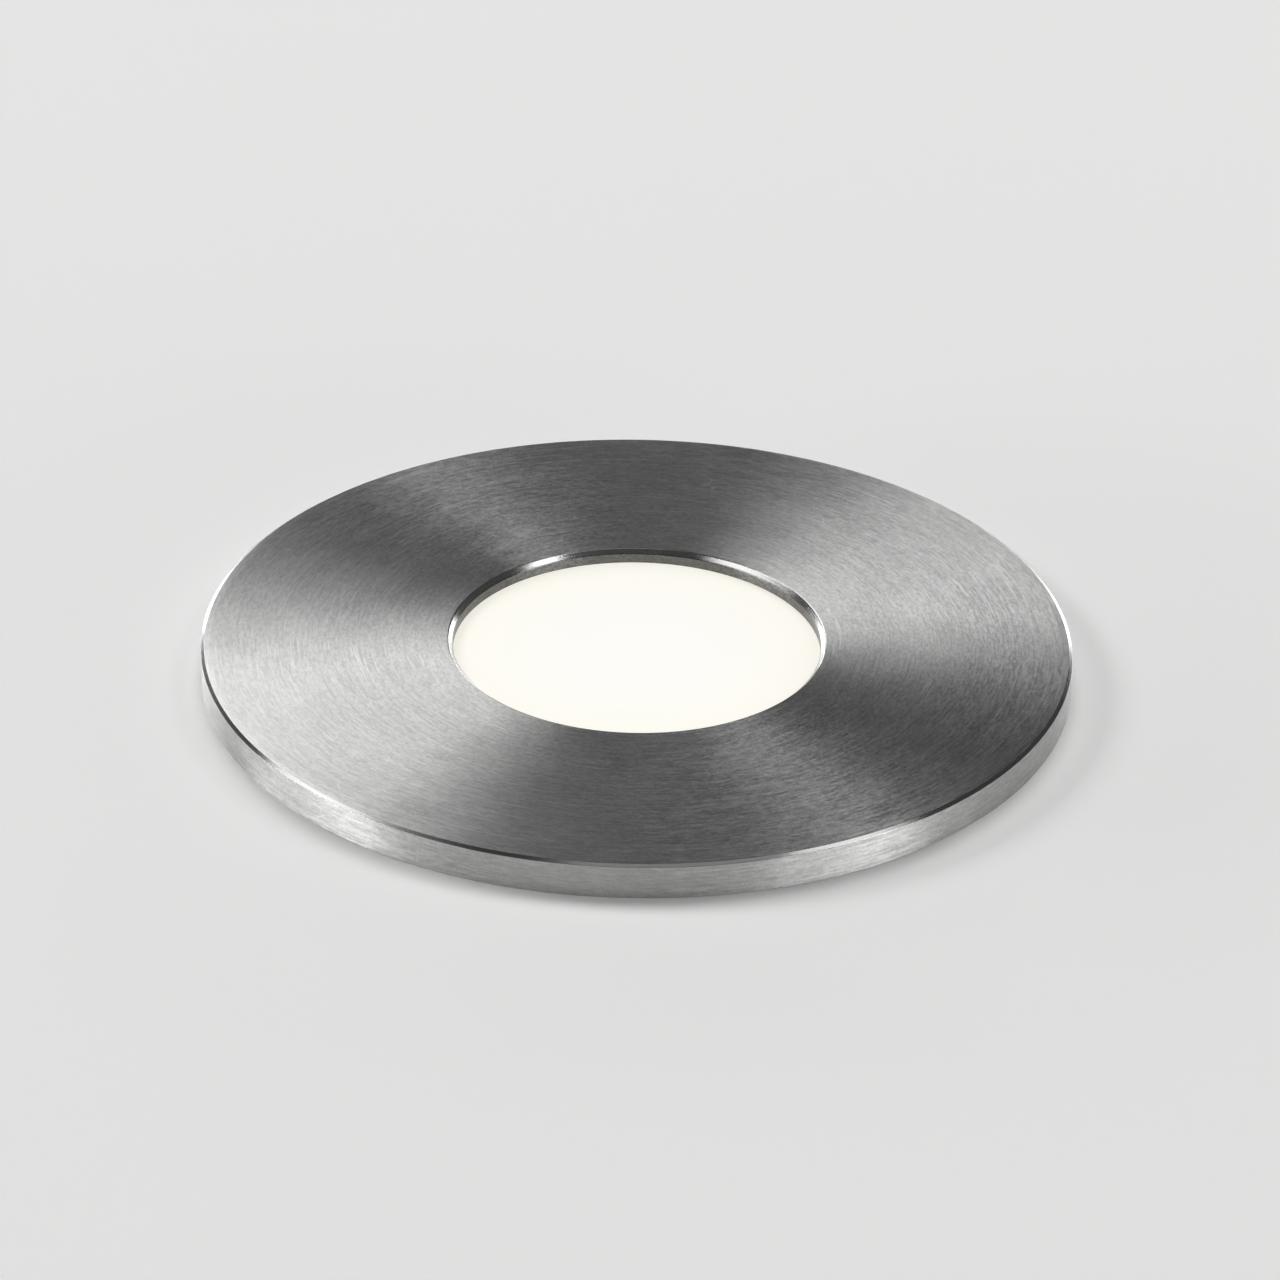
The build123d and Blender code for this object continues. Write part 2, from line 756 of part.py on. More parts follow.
def helix_heading(turn):
    """The direction of travel along the coil's centre line, level where the legs leave it."""
    angle = 2 * pi * turn
    travel = 2 * pi * spring_mean_r
    climb = spring_pitch if 0 < turn < spring_turns else 0
    return Vector(travel * sin(angle), climb, -travel * cos(angle)).normalized()


def biarc_middle(start, start_heading, end, end_heading):
    """Where two arcs meet that leave start and reach end along the given headings."""
    across = end - start
    both = start_heading + end_heading
    square = 2 * (1 - start_heading.dot(end_heading))
    reach = (sqrt(across.dot(both) ** 2 + square * across.dot(across)) - across.dot(both)) / square
    return (start + start_heading * reach + end - end_heading * reach) / 2


# Clip springs: torsion coils round the pins, one leg on the housing and one behind the arm
coil_start_y = -spring_turns * spring_pitch / 2
half_turns = ceil(2 * spring_turns)
with BuildPart() as coil:
    with BuildLine() as coil_path:
        leg_foot = helix_point(0, coil_start_y)
        leg_heading = helix_heading(0)
        leg_start = leg_foot - leg_heading * spring_leg
        Line(leg_start, leg_foot)
        for step in range(half_turns):
            begin, end = step / 2, min((step + 1) / 2, spring_turns)
            near, far = helix_point(begin, coil_start_y), helix_point(end, coil_start_y)
            middle = biarc_middle(near, helix_heading(begin), far, helix_heading(end))
            first = TangentArc(near, middle, tangent=helix_heading(begin))
            TangentArc(middle, far, tangent=first % 1)
        Line(far, far + helix_heading(spring_turns) * spring_leg)
    with BuildSketch(Plane(origin=leg_start, z_dir=leg_heading)):
        Circle(spring_wire_r)
    sweep()

samples_per_turn = 48
centres = [
    tuple(helix_point(step / samples_per_turn, coil_start_y))
    for step in range(int(spring_turns * samples_per_turn) + 1)
]
least = min(
    dist(centres[low], centres[high])
    for low in range(len(centres))
    for high in range(low + samples_per_turn // 2, len(centres))
)
print(f"least gap between the spring's turns: {least - 2 * spring_wire_r:.2f} mm")

# Clip arms: a pressed channel with a curled tip, whose cheeks turn on the pin
arm_bottom = pivot_z - arm_tail
arm_top = collar_bottom - arm_top_gap
arm_middle_x = arm_outer_x - arm_sheet / 2
cheek_top = pivot_z + (arm_top - pivot_z) * cheek_rise_share
with BuildPart() as channel:
    with BuildSketch(Plane.XZ):
        with BuildLine():
            Line((arm_middle_x, arm_bottom), (arm_middle_x, arm_top - arm_curl_r))
            CenterArc((arm_middle_x - arm_curl_r, arm_top - arm_curl_r), arm_curl_r, 0, 90)
            Line(
                (arm_middle_x - arm_curl_r, arm_top),
                (arm_middle_x - arm_curl_r - arm_curl_tail, arm_top),
            )
        trace(line_width=arm_sheet)
    extrude(amount=arm_half_width, both=True)
    with BuildSketch(Plane.XZ):
        with BuildLine():
            Polyline(
                (arm_middle_x, pivot_z - cheek_r),
                (pivot_x, pivot_z - cheek_r),
                (pivot_x, pivot_z + cheek_r),
                (arm_inner_x - arm_sheet, cheek_top),
                (arm_middle_x, cheek_top),
                close=True,
            )
        make_face()
        with Locations((pivot_x, pivot_z)):
            Circle(cheek_r)
            Circle(pin_r + pin_clearance, mode=Mode.SUBTRACT)
    extrude(amount=arm_half_width, both=True)
    with BuildSketch(Plane.XZ):
        with Locations((arm_inner_x - arm_half_width, pivot_z)):
            Rectangle(2 * arm_half_width, 2 * (cheek_top - pivot_z))
    extrude(amount=cheek_inner_y, both=True, mode=Mode.SUBTRACT)

# Clip pins: a headed pin through both lugs, the cheeks and the coil
pin_end_y = lug_outer_y + pin_end_play
with BuildPart() as pivot_pin:
    with BuildSketch(Plane.XZ.offset(-pin_end_y)):
        with Locations((pivot_x, pivot_z)):
            Circle(pin_r)
    extrude(amount=2 * pin_end_y)
    with BuildSketch(Plane.XZ.offset(pin_end_y)):
        with Locations((pivot_x, pivot_z)):
            Circle(pin_head_r)
    extrude(amount=pin_head_thickness)

for side, turn in sides.items():
    with BuildPart() as clip_arm:
        add(channel.part, rotation=(0, 0, turn))
    clip_arm.part.label = f"clip_arm_{side}"
    export_step(clip_arm.part, f"parts/clip_arm_{side}.step")
    with BuildPart() as clip_pin:
        add(pivot_pin.part, rotation=(0, 0, turn))
    clip_pin.part.label = f"clip_pin_{side}"
    export_step(clip_pin.part, f"parts/clip_pin_{side}.step")
    with BuildPart() as clip_spring:
        add(coil.part, rotation=(0, 0, turn))
    clip_spring.part.label = f"clip_spring_{side}"
    export_step(clip_spring.part, f"parts/clip_spring_{side}.step")
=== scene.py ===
from math import cos, pi, radians, sin

import bpy
import numpy as np
from bpy.props import FloatProperty, FloatVectorProperty, IntProperty, PointerProperty
from mathutils import Matrix, Vector


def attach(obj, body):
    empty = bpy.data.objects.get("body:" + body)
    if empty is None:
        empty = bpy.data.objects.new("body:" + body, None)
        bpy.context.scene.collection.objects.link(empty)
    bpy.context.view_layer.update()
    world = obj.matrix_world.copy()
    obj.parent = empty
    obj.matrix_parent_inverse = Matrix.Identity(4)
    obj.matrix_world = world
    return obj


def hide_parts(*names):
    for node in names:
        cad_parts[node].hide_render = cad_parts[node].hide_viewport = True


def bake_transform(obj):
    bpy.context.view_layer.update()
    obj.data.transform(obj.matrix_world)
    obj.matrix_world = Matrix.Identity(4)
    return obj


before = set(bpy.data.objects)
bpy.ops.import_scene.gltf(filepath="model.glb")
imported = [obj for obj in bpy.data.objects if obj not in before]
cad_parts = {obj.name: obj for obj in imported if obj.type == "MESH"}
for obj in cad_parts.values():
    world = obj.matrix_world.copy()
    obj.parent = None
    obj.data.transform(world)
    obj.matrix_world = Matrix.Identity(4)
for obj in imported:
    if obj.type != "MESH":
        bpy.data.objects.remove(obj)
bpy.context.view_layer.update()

bl_info = {
    "name": "In-ground light",
    "version": (1, 0, 0),
    "blender": (4, 5, 0),
    "location": "3D View > Sidebar > In-ground light",
    "description": "Dresses a round in-ground light: steel bezel, glowing window and lamp below",
    "category": "Object",
}

MM = 0.001
ROUND = 2 * pi

# Sizes and places that several pieces share, in millimetres: z = 0 is the finished ground
SLEEVE_R = 30.0
GLASS_TOP, GLASS_BOTTOM = 1.8, -2.2
PIVOT_X, PIVOT_Z = 24.234, -27.5
SPRING_PITCH, SPRING_TURNS = 1.1, 3.5
THREAD_DEPTH = 0.5


# Shader expressions ---------------------------------------------------------------------------


class Term:
    """A shader socket in a Python expression: each operator adds the Math node for it."""

    def __init__(self, finish, socket):
        self.finish, self.socket = finish, socket

    def __add__(self, other):
        return self.finish.maths("ADD", self, other)

    __radd__ = __add__

    def __sub__(self, other):
        return self.finish.maths("SUBTRACT", self, other)

    def __rsub__(self, other):
        return self.finish.maths("SUBTRACT", other, self)

    def __mul__(self, other):
        return self.finish.maths("MULTIPLY", self, other)

    __rmul__ = __mul__

    def __truediv__(self, other):
        return self.finish.maths("DIVIDE", self, other)

    def __rtruediv__(self, other):
        return self.finish.maths("DIVIDE", other, self)

    def __pow__(self, other):
        return self.finish.maths("POWER", self, other)


class Finish:
    """The nodes of one material or world, made by short calls."""

    def __init__(self, owner):
        owner.use_nodes = True
        self.owner, self.tree = owner, owner.node_tree
        self.tree.nodes.clear()

    def node(self, kind, settings=None, values=None, result=0):
        """Adds a node, sets its settings and then its sockets, and returns one output as a Term."""
        made = self.tree.nodes.new(kind)
        for key, value in (settings or {}).items():
            setattr(made, key, value)
        for key, value in (values or {}).items():
            self.put(self.find(made.inputs, key), value)
        outputs = made.outputs
        return Term(self, self.find(outputs, result)) if len(outputs) else made

    def find(self, sockets, key):
        """The socket with this place, name or identifier."""
        if isinstance(key, int):
            return sockets[key]
        return next(s for s in sockets if key in (s.identifier, s.name))

    def put(self, socket, value):
        """Joins a Term to a socket, or sets the socket to a constant."""
        if isinstance(value, Term):
            self.tree.links.new(value.socket, socket)
        elif socket.type == "RGBA":
            socket.default_value = (*value[:3], 1.0)
        else:
            socket.default_value = value

    def maths(self, operation, *terms):
        return self.node("ShaderNodeMath", {"operation": operation}, dict(enumerate(terms)))

    def place(self, coordinates="Object"):
        """The coordinates as three numbers, which in an object's own are in metres."""
        where = self.node("ShaderNodeTexCoord", None, None, coordinates)
        split = self.node("ShaderNodeSeparateXYZ", None, {0: where})
        return [Term(self, socket) for socket in split.socket.node.outputs]

    def vector(self, x, y, z):
        return self.node("ShaderNodeCombineXYZ", None, {0: x, 1: y, 2: z})

    def noise(self, where, scale=1.0, detail=2.0, roughness=0.5):
        return self.node(
            "ShaderNodeTexNoise",
            {"noise_dimensions": "3D"},
            {"Vector": where, "Scale": scale, "Detail": detail, "Roughness": roughness},
        )

    def between(self, value, low, high, start=0.0, end=1.0):
        """start where value is at or under low, end where it is at or over high, smooth between."""
        return self.node(
            "ShaderNodeMapRange",
            {"interpolation_type": "SMOOTHSTEP"},
            {"Value": value, "From Min": low, "From Max": high, "To Min": start, "To Max": end},
        )

    def blend(self, factor, first, second):
        """first where factor is 0 and second where it is 1, as colours."""
        return self.node(
            "ShaderNodeMix",
            {"data_type": "RGBA"},
            {"Factor_Float": factor, "A_Color": first, "B_Color": second},
            "Result_Color",
        )

    def bump(self, height, distance, strength=1.0):
        return self.node(
            "ShaderNodeBump", None, {"Height": height, "Distance": distance, "Strength": strength}
        )

    def surface(self, kind, values):
        """Makes a shader and joins it to the material's output."""
        shader = self.node(kind, None, values)
        self.node("ShaderNodeOutputMaterial", None, {"Surface": shader})


def new_finish(name):
    return Finish(bpy.data.materials.new(name))


def shaded(colour, share):
    """A colour made darker or lighter by a share of itself."""
    return tuple(min(1.0, c * share) for c in colour)


def turned_metal(
    name, colour, roughness, anisotropy=0.0, lines=5.0, wear=0.08, depth=0.0015, cut=None
):
    """Metal turned or brushed in circles round Z.

    The grain is noise read at (distance along the profile, cos of the angle, sin of the angle), so
    that it is fine across the circles and long round them: short streaks, long streaks, and a fine
    mottle that has no direction. It moves the colour, the roughness and the bump. Groups of longer
    arcs lie in it, soft clouds stand for handling, and single scratches follow the contours of a
    wide noise. Cut gives two masks: where the first is 1 the metal has the smoother finish that a
    sharp tool leaves and a painted shade, its colour at 0.72 of the steel's, and where the second
    is
    1 it has less grain and roughness and a painted shade, its colour at 0.24 to 0.4 of the steel's.
    """
    f = new_finish(name)
    x, y, z = f.place()
    where = f.vector(x, y, z)
    out = (x * x + y * y) ** 0.5 + 1e-6
    run = (out + z) * (lines / MM)

    def streaks(across, along, detail, fine):
        return f.noise(f.vector(run * across, x / out * along, y / out * along), 1.0, detail, fine)

    short = streaks(1.0, 34.0, 2.0, 0.6)
    long = streaks(0.7, 6.0, 3.0, 0.65)
    mottle = f.noise(where, 0.8 * lines / MM, 2.0, 0.65)
    cloud = f.between(f.noise(where, 140.0, 3.0, 0.55), 0.35, 0.7)
    grain = f.between(short * 0.42 + long * 0.32 + mottle * 0.26, 0.36, 0.64)
    off_line = f.maths("ABSOLUTE", streaks(0.035, 1.9, 1.0, 0.5) - 0.5)
    line = 1 - f.between(off_line, 0.0006, 0.0022)
    scratch = line * f.between(f.noise(where, 260.0, 1.0, 0.5), 0.5, 0.6)
    arcs = f.between(streaks(0.85, 2.4, 1.0, 0.5), 0.57, 0.67)
    strokes = arcs * f.between(f.noise(where, 210.0, 1.0, 0.5), 0.48, 0.6)
    tint = f.blend(
        grain * 0.7 + cloud * 0.2 + scratch * 0.4 + strokes * 0.28,
        shaded(colour, 1 - wear),
        shaded(colour, 1 + wear),
    )
    rough = grain * 0.1 + cloud * 0.012 + (roughness - 0.056)
    if cut:
        smooth, dull_and_shaded = cut(f, out, z)
        # Painted shade on the rim's chamfer and the aperture's flare: their colour is darkened to
        # 0.72 of the steel's
        tint = f.blend(smooth, tint, shaded(colour, 0.72))
        # Painted shade in the bore: its colour is darkened to 0.24-0.4 of the steel's
        tint = f.blend(dull_and_shaded, tint, f.blend(grain, shaded(colour, 0.24), shaded(colour, 0.4)))
        rough = rough * (1 - smooth - dull_and_shaded * 0.25) + smooth * (roughness * 0.45)
        grain = grain * (1 - smooth * 0.6 - dull_and_shaded * 0.5)
    f.surface(
        "ShaderNodeBsdfPrincipled",
        {
            "Base Color": tint,
            "Metallic": 1.0,
            "Roughness": rough,
            "Anisotropic": anisotropy,
            "Anisotropic Rotation": 0.25,
            "Normal": f.bump(grain + strokes * 0.4 - scratch * 0.7, depth * MM, 0.6),
        },
    )
    return f.owner


def plain_metal(name, colour, roughness, grain_size=0.35, pitting=0.002, drawn=(1, 1, 1)):
    """Plated, drawn or rolled metal: two sizes of noise dull and pit it a little.

    Drawn scales the fine noise along X, Y and Z: a small number draws it out into lines.
    """
    f = new_finish(name)
    x, y, z = f.place()
    where = f.vector(x, y, z)
    lines = f.vector(x * drawn[0], y * drawn[1], z * drawn[2])
    fine = f.noise(lines, 1 / (grain_size * MM), 3.0, 0.6)
    cloud = f.noise(where, 0.12 / (grain_size * MM), 2.0, 0.5)
    f.surface(
        "ShaderNodeBsdfPrincipled",
        {
            "Base Color": f.blend(
                fine * 0.5 + cloud * 0.5, shaded(colour, 0.84), shaded(colour, 1.14)
            ),
            "Metallic": 1.0,
            "Roughness": fine * 0.1 + cloud * 0.1 + (roughness - 0.1),
            "Normal": f.bump(fine, pitting * MM, 0.5),
        },
    )
    return f.owner


def moulded(name, colour, roughness, grain_size, depth):
    """Moulded plastic or rubber: a fine spark-eroded skin with soft flow marks in its colour."""
    f = new_finish(name)
    x, y, z = f.place()
    where = f.vector(x, y, z)
    skin = f.noise(where, 1 / (grain_size * MM), 3.0, 0.65)
    flow = f.noise(f.vector(x, y, z * 0.35), 90.0, 3.0, 0.5)
    f.surface(
        "ShaderNodeBsdfPrincipled",
        {
            "Base Color": f.blend(
                skin * 0.4 + flow * 0.6, shaded(colour, 0.84), shaded(colour, 1.15)
            ),
            "Roughness": skin * 0.14 + flow * 0.12 + (roughness - 0.13),
            "Normal": f.bump(skin, depth * MM, 0.7),
        },
    )
    return f.owner


def lit_glass(name, centre, edge, level, reach):
    """Satin etched glass over the lamp: it glows white in the middle and cream towards the rim."""
    f = new_finish(name)
    x, y, z = f.place()
    out = (x * x + y * y) ** 0.5
    etch = f.noise(f.vector(x, y, z), 9000.0, 2.0, 0.6)
    rim = f.between(out, reach * 0.35, reach * 0.9)
    f.surface(
        "ShaderNodeBsdfPrincipled",
        {
            "Base Color": f.blend(etch, (0.38, 0.38, 0.37), (0.44, 0.44, 0.43)),
            "Roughness": etch * 0.12 + 0.42,
            "Emission Color": f.blend(rim, centre, edge),
            "Emission Strength": level,
            "Normal": f.bump(etch, 0.002 * MM, 0.5),
        },
    )
    return f.owner


# Shapes ---------------------------------------------------------------------------------------


def rounded(corners, closed=True, arc=4):
    """A profile with rounded corners, as points (r, z) and outward normals.

    Corners are (r, z, fillet radius, steps on the edge that follows), anticlockwise round the
    solid. At each corner the fillet's centre lies one radius from both edges, and its points are
    the centre plus the radius times a normal that swings from the edge before to the edge after.
    """
    rows = np.array([(*c, 1)[:4] for c in corners], float)
    p, fillet, steps = rows[:, :2] * MM, rows[:, 2] * MM, rows[:, 3].astype(int)
    way = np.roll(p, -1, 0) - p
    way /= np.linalg.norm(way, axis=1, keepdims=True) + 1e-12
    out = np.stack([way[:, 1], -way[:, 0]], 1)
    before, out_before = np.roll(way, 1, 0), np.roll(out, 1, 0)
    swing = np.arctan2(
        before[:, 0] * way[:, 1] - before[:, 1] * way[:, 0], (before * way).sum(1)
    )
    turn_by = swing[:, None] * np.linspace(0, 1, arc + 1)
    c, s = np.cos(turn_by), np.sin(turn_by)
    normal = np.stack(
        [
            out_before[:, :1] * c - out_before[:, 1:] * s,
            out_before[:, :1] * s + out_before[:, 1:] * c,
        ],
        2,
    )
    signed = np.sign(swing) * fillet
    start = p - before * (fillet * np.tan(np.abs(swing) / 2))[:, None]
    centre = start - signed[:, None] * out_before
    point = centre[:, None] + signed[:, None, None] * normal
    points, normals = [], []
    for i in range(len(p)):
        if closed or 0 < i < len(p) - 1:
            points.append(point[i])
            normals.append(normal[i])
        else:
            points.append(p[i : i + 1])
            normals.append(out[i : i + 1] if i == 0 else out_before[i : i + 1])
        if steps[i] > 1 and (closed or i < len(p) - 1):
            last = points[-1][-1]
            following = (i + 1) % len(p)
            first = point[following][0] if closed or following < len(p) - 1 else p[following]
            share = np.arange(1, steps[i])[:, None] / steps[i]
            points.append(last + (first - last) * share)
            normals.append(np.repeat(out[i : i + 1], steps[i] - 1, 0))
    return np.concatenate(points), np.concatenate(normals)


def thread(low, high, pitch, depth):
    """A helical groove: how far the wall moves at an angle and a height.

    The depth times a flattened triangle wave of (height / pitch - angle / full turn), faded in and
    out over the first and last half pitch.
    """

    def groove(angle, z):
        wave = np.abs(2 * ((z / pitch - angle / ROUND) % 1) - 1)
        fade = np.clip((z - low) / pitch * 2, 0, 1) * np.clip((high - z) / pitch * 2, 0, 1)
        return depth * np.clip((wave - 0.15) / 0.7, 0, 1) * fade

    return groove


def turned(points, normals, segments=256, groove=None, closed=True, across=None):
    """A profile carried once round Z: each point (r, z) becomes the ring (r cos a, r sin a, z).

    A groove moves upright walls along their radius, and tilts their normals by its slope. The ends
    of an open profile lie on the axis and close in one point each. Across, half the width of a
    hexagon, cuts six flats: no radius passes across / cos(a - the flat's middle angle).
    """
    angle = np.arange(segments) * ROUND / segments
    a, z = np.meshgrid(angle, points[:, 1])
    r = np.repeat(points[:, :1], segments, 1)
    n_r, n_z = np.repeat(normals[:, :1], segments, 1), np.repeat(normals[:, 1:], segments, 1)
    n_a = np.zeros_like(n_r)
    if groove:
        upright = np.abs(n_r) > 0.99
        side, e = np.sign(n_r), 1e-6
        r = r + np.where(upright, groove(a, z), 0)
        slope_z = (groove(a, z + e) - groove(a, z - e)) / (2 * e)
        slope_a = (groove(a + 1e-4, z) - groove(a - 1e-4, z)) / 2e-4 / np.maximum(r, 1e-6)
        n_z = np.where(upright, -side * slope_z, n_z)
        n_a = np.where(upright, -side * slope_a, n_a)
    if across:
        off = a % (pi / 3) - pi / 6
        flat = across / np.cos(off)
        cut = r > flat
        r = np.minimum(r, flat)
        n_r, n_a = np.where(cut, np.cos(off), n_r), np.where(cut, -np.sin(off), n_a)
        n_z = np.where(cut, 0, n_z)
    c, s = np.cos(a), np.sin(a)
    xyz = np.stack([r * c, r * s, z], 2)
    n = np.stack([n_r * c - n_a * s, n_r * s + n_a * c, n_z], 2)
    index = np.arange(xyz[..., 0].size).reshape(len(points), segments)
    if not closed:
        index[0], index[-1] = index[0, 0], index[-1, 0]
    rows = index if not closed else np.concatenate([index, index[:1]])
    return tidy(xyz.reshape(-1, 3), n.reshape(-1, 3), ringed(rows))


def ringed(rows, upward_first=False):
    """Quads from each row of points to the next, closed round each row.

    Their corners go along the row and then up to the next, or with upward_first up and then
    along, which turns them to face the other way.
    """
    low, high = rows[:-1], rows[1:]
    low_on, high_on = np.roll(low, -1, 1), np.roll(high, -1, 1)
    corners = [low, high, high_on, low_on] if upward_first else [low, low_on, high_on, high]
    return np.stack(corners, 2).reshape(-1, 4)


def tidy(xyz, n, quads):
    """Drops unused points, and makes triangles of quads that meet in one point."""
    used, quads = np.unique(quads, return_inverse=True)
    quads = quads.reshape(-1, 4)
    lower = quads[:, 0] == quads[:, 1]
    upper = quads[:, 2] == quads[:, 3]
    faces = quads[~(lower | upper)].tolist()
    faces += quads[lower][:, 1:].tolist() + quads[upper][:, :3].tolist()
    return xyz[used], n[used], faces


def plate(outline, normals, low, high, rim, arc=3):
    """An outline (x, z) carried along Y from low to high, with a rounded rim on both faces.

    Over each rim the outline moves in by the rim's radius times (1 - sin) as Y moves on by the
    radius times (1 - cos), and the normal swings from the face to the side.
    """
    t = np.linspace(0, pi / 2, arc + 1)
    y = np.concatenate([low + rim * (1 - np.cos(t)), high - rim * (1 - np.cos(t[::-1]))])
    inset = rim * np.concatenate([1 - np.sin(t), 1 - np.sin(t[::-1])])
    side = np.concatenate([np.sin(t), np.sin(t[::-1])])
    face = np.concatenate([-np.cos(t), np.cos(t[::-1])])
    flat = outline[None] - inset[:, None, None] * normals[None]
    xyz = np.stack([flat[..., 0], np.repeat(y[:, None], len(outline), 1), flat[..., 1]], 2)
    n = np.stack(
        [
            side[:, None] * normals[None, :, 0],
            np.repeat(face[:, None], len(outline), 1),
            side[:, None] * normals[None, :, 1],
        ],
        2,
    )
    count = len(outline)
    index = np.arange(len(y) * count).reshape(len(y), count)
    caps = [index[0].tolist(), index[-1][::-1].tolist()]
    faces = ringed(index, upward_first=True).tolist() + caps
    return xyz.reshape(-1, 3), n.reshape(-1, 3), faces


def swept(path, radius, sides=14):
    """A round wire along a path (n, 3): rings of path + radius * (side cos a + up sin a).

    Side is the unit vector square to the path and to Y, and up is square to both. At each end two
    smaller rings round the wire off: a ring's radius is the wire's times the sine of the angle
    whose cosine is how far the ring lies past the last full one.
    """
    way = np.gradient(path, axis=0)
    way /= np.linalg.norm(way, axis=1, keepdims=True)
    t = np.linspace(0, pi / 2, 4)[:-1]
    past, share = np.cos(t) * radius, np.sin(t)
    tip = [np.repeat(way[:1], 3, 0), np.repeat(way[-1:], 3, 0)]
    ends = [path[0] - past[:, None] * tip[0], path[-1] + past[::-1, None] * tip[1]]
    line = np.concatenate([ends[0], path, ends[1]])
    way = np.concatenate([tip[0], way, tip[1]])
    share = np.concatenate([share, np.ones(len(path)), share[::-1]])
    lean = np.zeros(len(line))
    lean[:3], lean[-3:] = -np.cos(t), np.cos(t[::-1])
    side = np.cross(way, (0, 1, 0))
    side /= np.linalg.norm(side, axis=1, keepdims=True)
    up = np.cross(way, side)
    a = (np.arange(sides) * ROUND / sides)[:, None]
    spoke = side[:, None] * np.cos(a) + up[:, None] * np.sin(a)
    xyz = line[:, None] + spoke * (radius * share)[:, None, None]
    n = spoke * share[:, None, None] + way[:, None] * lean[:, None, None]
    index = np.arange(len(line) * sides).reshape(-1, sides)
    index[0], index[-1] = index[0, 0], index[-1, 0]
    return tidy(xyz.reshape(-1, 3), n.reshape(-1, 3), ringed(index))


def joined(*shapes):
    """Several shapes as one."""
    start, points, normals, faces = 0, [], [], []
    for xyz, n, some in shapes:
        points.append(xyz)
        normals.append(n)
        faces += [[start + i for i in face] for face in some]
        start += len(xyz)
    return np.concatenate(points), np.concatenate(normals), faces


def moved(shape, matrix):
    """A shape turned and shifted by a 4 by 4 matrix."""
    xyz, n, faces = shape
    m = np.array(matrix)
    return xyz @ m[:3, :3].T + m[:3, 3], n @ m[:3, :3].T, faces


def piece(name, shape, finish, body, slot, *nodes):
    """Makes the mesh with its own normals, and lets it stand for CAD nodes and ride on a body.

    For a piece that winds up between two bodies, body is (one, other, start, end), which is read no
    further: the piece then rides on no body, and its transform is baked into the mesh.
    """
    xyz, n, faces = shape
    mesh = bpy.data.meshes.new(name)
    mesh.from_pydata(xyz.tolist(), [], faces)
    n = n / np.maximum(np.linalg.norm(n, axis=1, keepdims=True), 1e-12)
    mesh.normals_split_custom_set_from_vertices(n.tolist())
    mesh.materials.append(finish)
    made = bpy.data.objects.new(name, mesh)
    bpy.context.scene.collection.objects.link(made)
    if isinstance(body, str):
        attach(made, body)
    else:
        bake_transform(made)
    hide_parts(*nodes)


def dress(finish, *nodes):
    """Gives CAD nodes, which keep their shape, a finish."""
    for node in nodes:
        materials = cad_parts[node].data.materials
        materials.clear()
        materials.append(finish)


# Sizes and colours that a user would change -----------------------------------------------------


def length_field(name, description, default, most=0.1):
    return FloatProperty(
        name=name, description=description, default=default, min=0.0, max=most,
        unit="LENGTH", precision=5,
    )


def colour_field(name, description, default):
    return FloatVectorProperty(
        name=name, description=description, default=default, size=3, min=0.0, max=1.0,
        subtype="COLOR",
    )


def share_field(name, description, default, most=1.0):
    return FloatProperty(
        name=name, description=description, default=default, min=0.0, max=most, subtype="FACTOR"
    )


class BezelSizes(bpy.types.PropertyGroup):
    """The turned steel bezel and its seal."""

    rim_r: length_field("Rim radius", "Outside radius of the flange", 35.0 * MM)
    aperture_r: length_field("Aperture radius", "Radius of the window's opening", 14.8 * MM)
    thickness: length_field("Thickness", "Height of the flange over the ground", 3.0 * MM)
    rim_break: length_field("Rim chamfer", "Height of the chamfer round the rim", 0.2 * MM)
    steel: colour_field("Steel", "Colour of the brushed steel", (0.505, 0.504, 0.5))
    roughness: share_field("Roughness", "Roughness of the brushed steel", 0.39)
    anisotropy: share_field("Brushing", "How far highlights fan out across the brushing", 0.9)
    segments: IntProperty(
        name="Segments", description="Facets round the bezel", default=256, min=64, max=512
    )


class GlassSizes(bpy.types.PropertyGroup):
    """The glowing window."""

    radius: length_field("Radius", "Radius of the glass disc", 19.0 * MM)
    centre: colour_field("Centre", "Light from the middle of the window", (0.985, 0.97, 0.93))
    edge: colour_field("Edge", "Light from the rim of the window", (1.0, 0.975, 0.865))
    level: share_field("Level", "Strength of the light", 0.7, 10.0)


class LampSizes(bpy.types.PropertyGroup):
    """The lamp's body below the ground."""

    body_r: length_field("Body radius", "Radius of the finned body", 22.5 * MM)
    fin_root_r: length_field("Fin root radius", "Radius at the bottom of the fin gaps", 20.0 * MM)
    aluminium: colour_field("Aluminium", "Colour of the turned aluminium", (0.56, 0.565, 0.57))
    thread_pitch: length_field("Thread pitch", "Rise of the bezel's thread in one turn", 1.5 * MM)


class ClipSizes(bpy.types.PropertyGroup):
    """The sprung clips."""

    sheet: length_field("Sheet", "Thickness of the arm's sheet", 0.6 * MM)
    half_width: length_field("Half width", "Half the width of an arm", 3.0 * MM)
    steel: colour_field("Spring steel", "Colour of the spring steel", (0.6, 0.6, 0.59))


class StageSizes(bpy.types.PropertyGroup):
    """Floor, light and camera."""

    floor: colour_field("Floor", "Colour of the floor", (0.88, 0.88, 0.875))
    floor_lift: share_field("Floor lift", "Light added to the floor as the camera sees it", 0.083)
    backdrop: share_field("Backdrop", "Brightness of the backdrop", 0.74)
    lamps: share_field("Lamps", "Power of the lamps, as a share of what is listed", 1.0, 4.0)


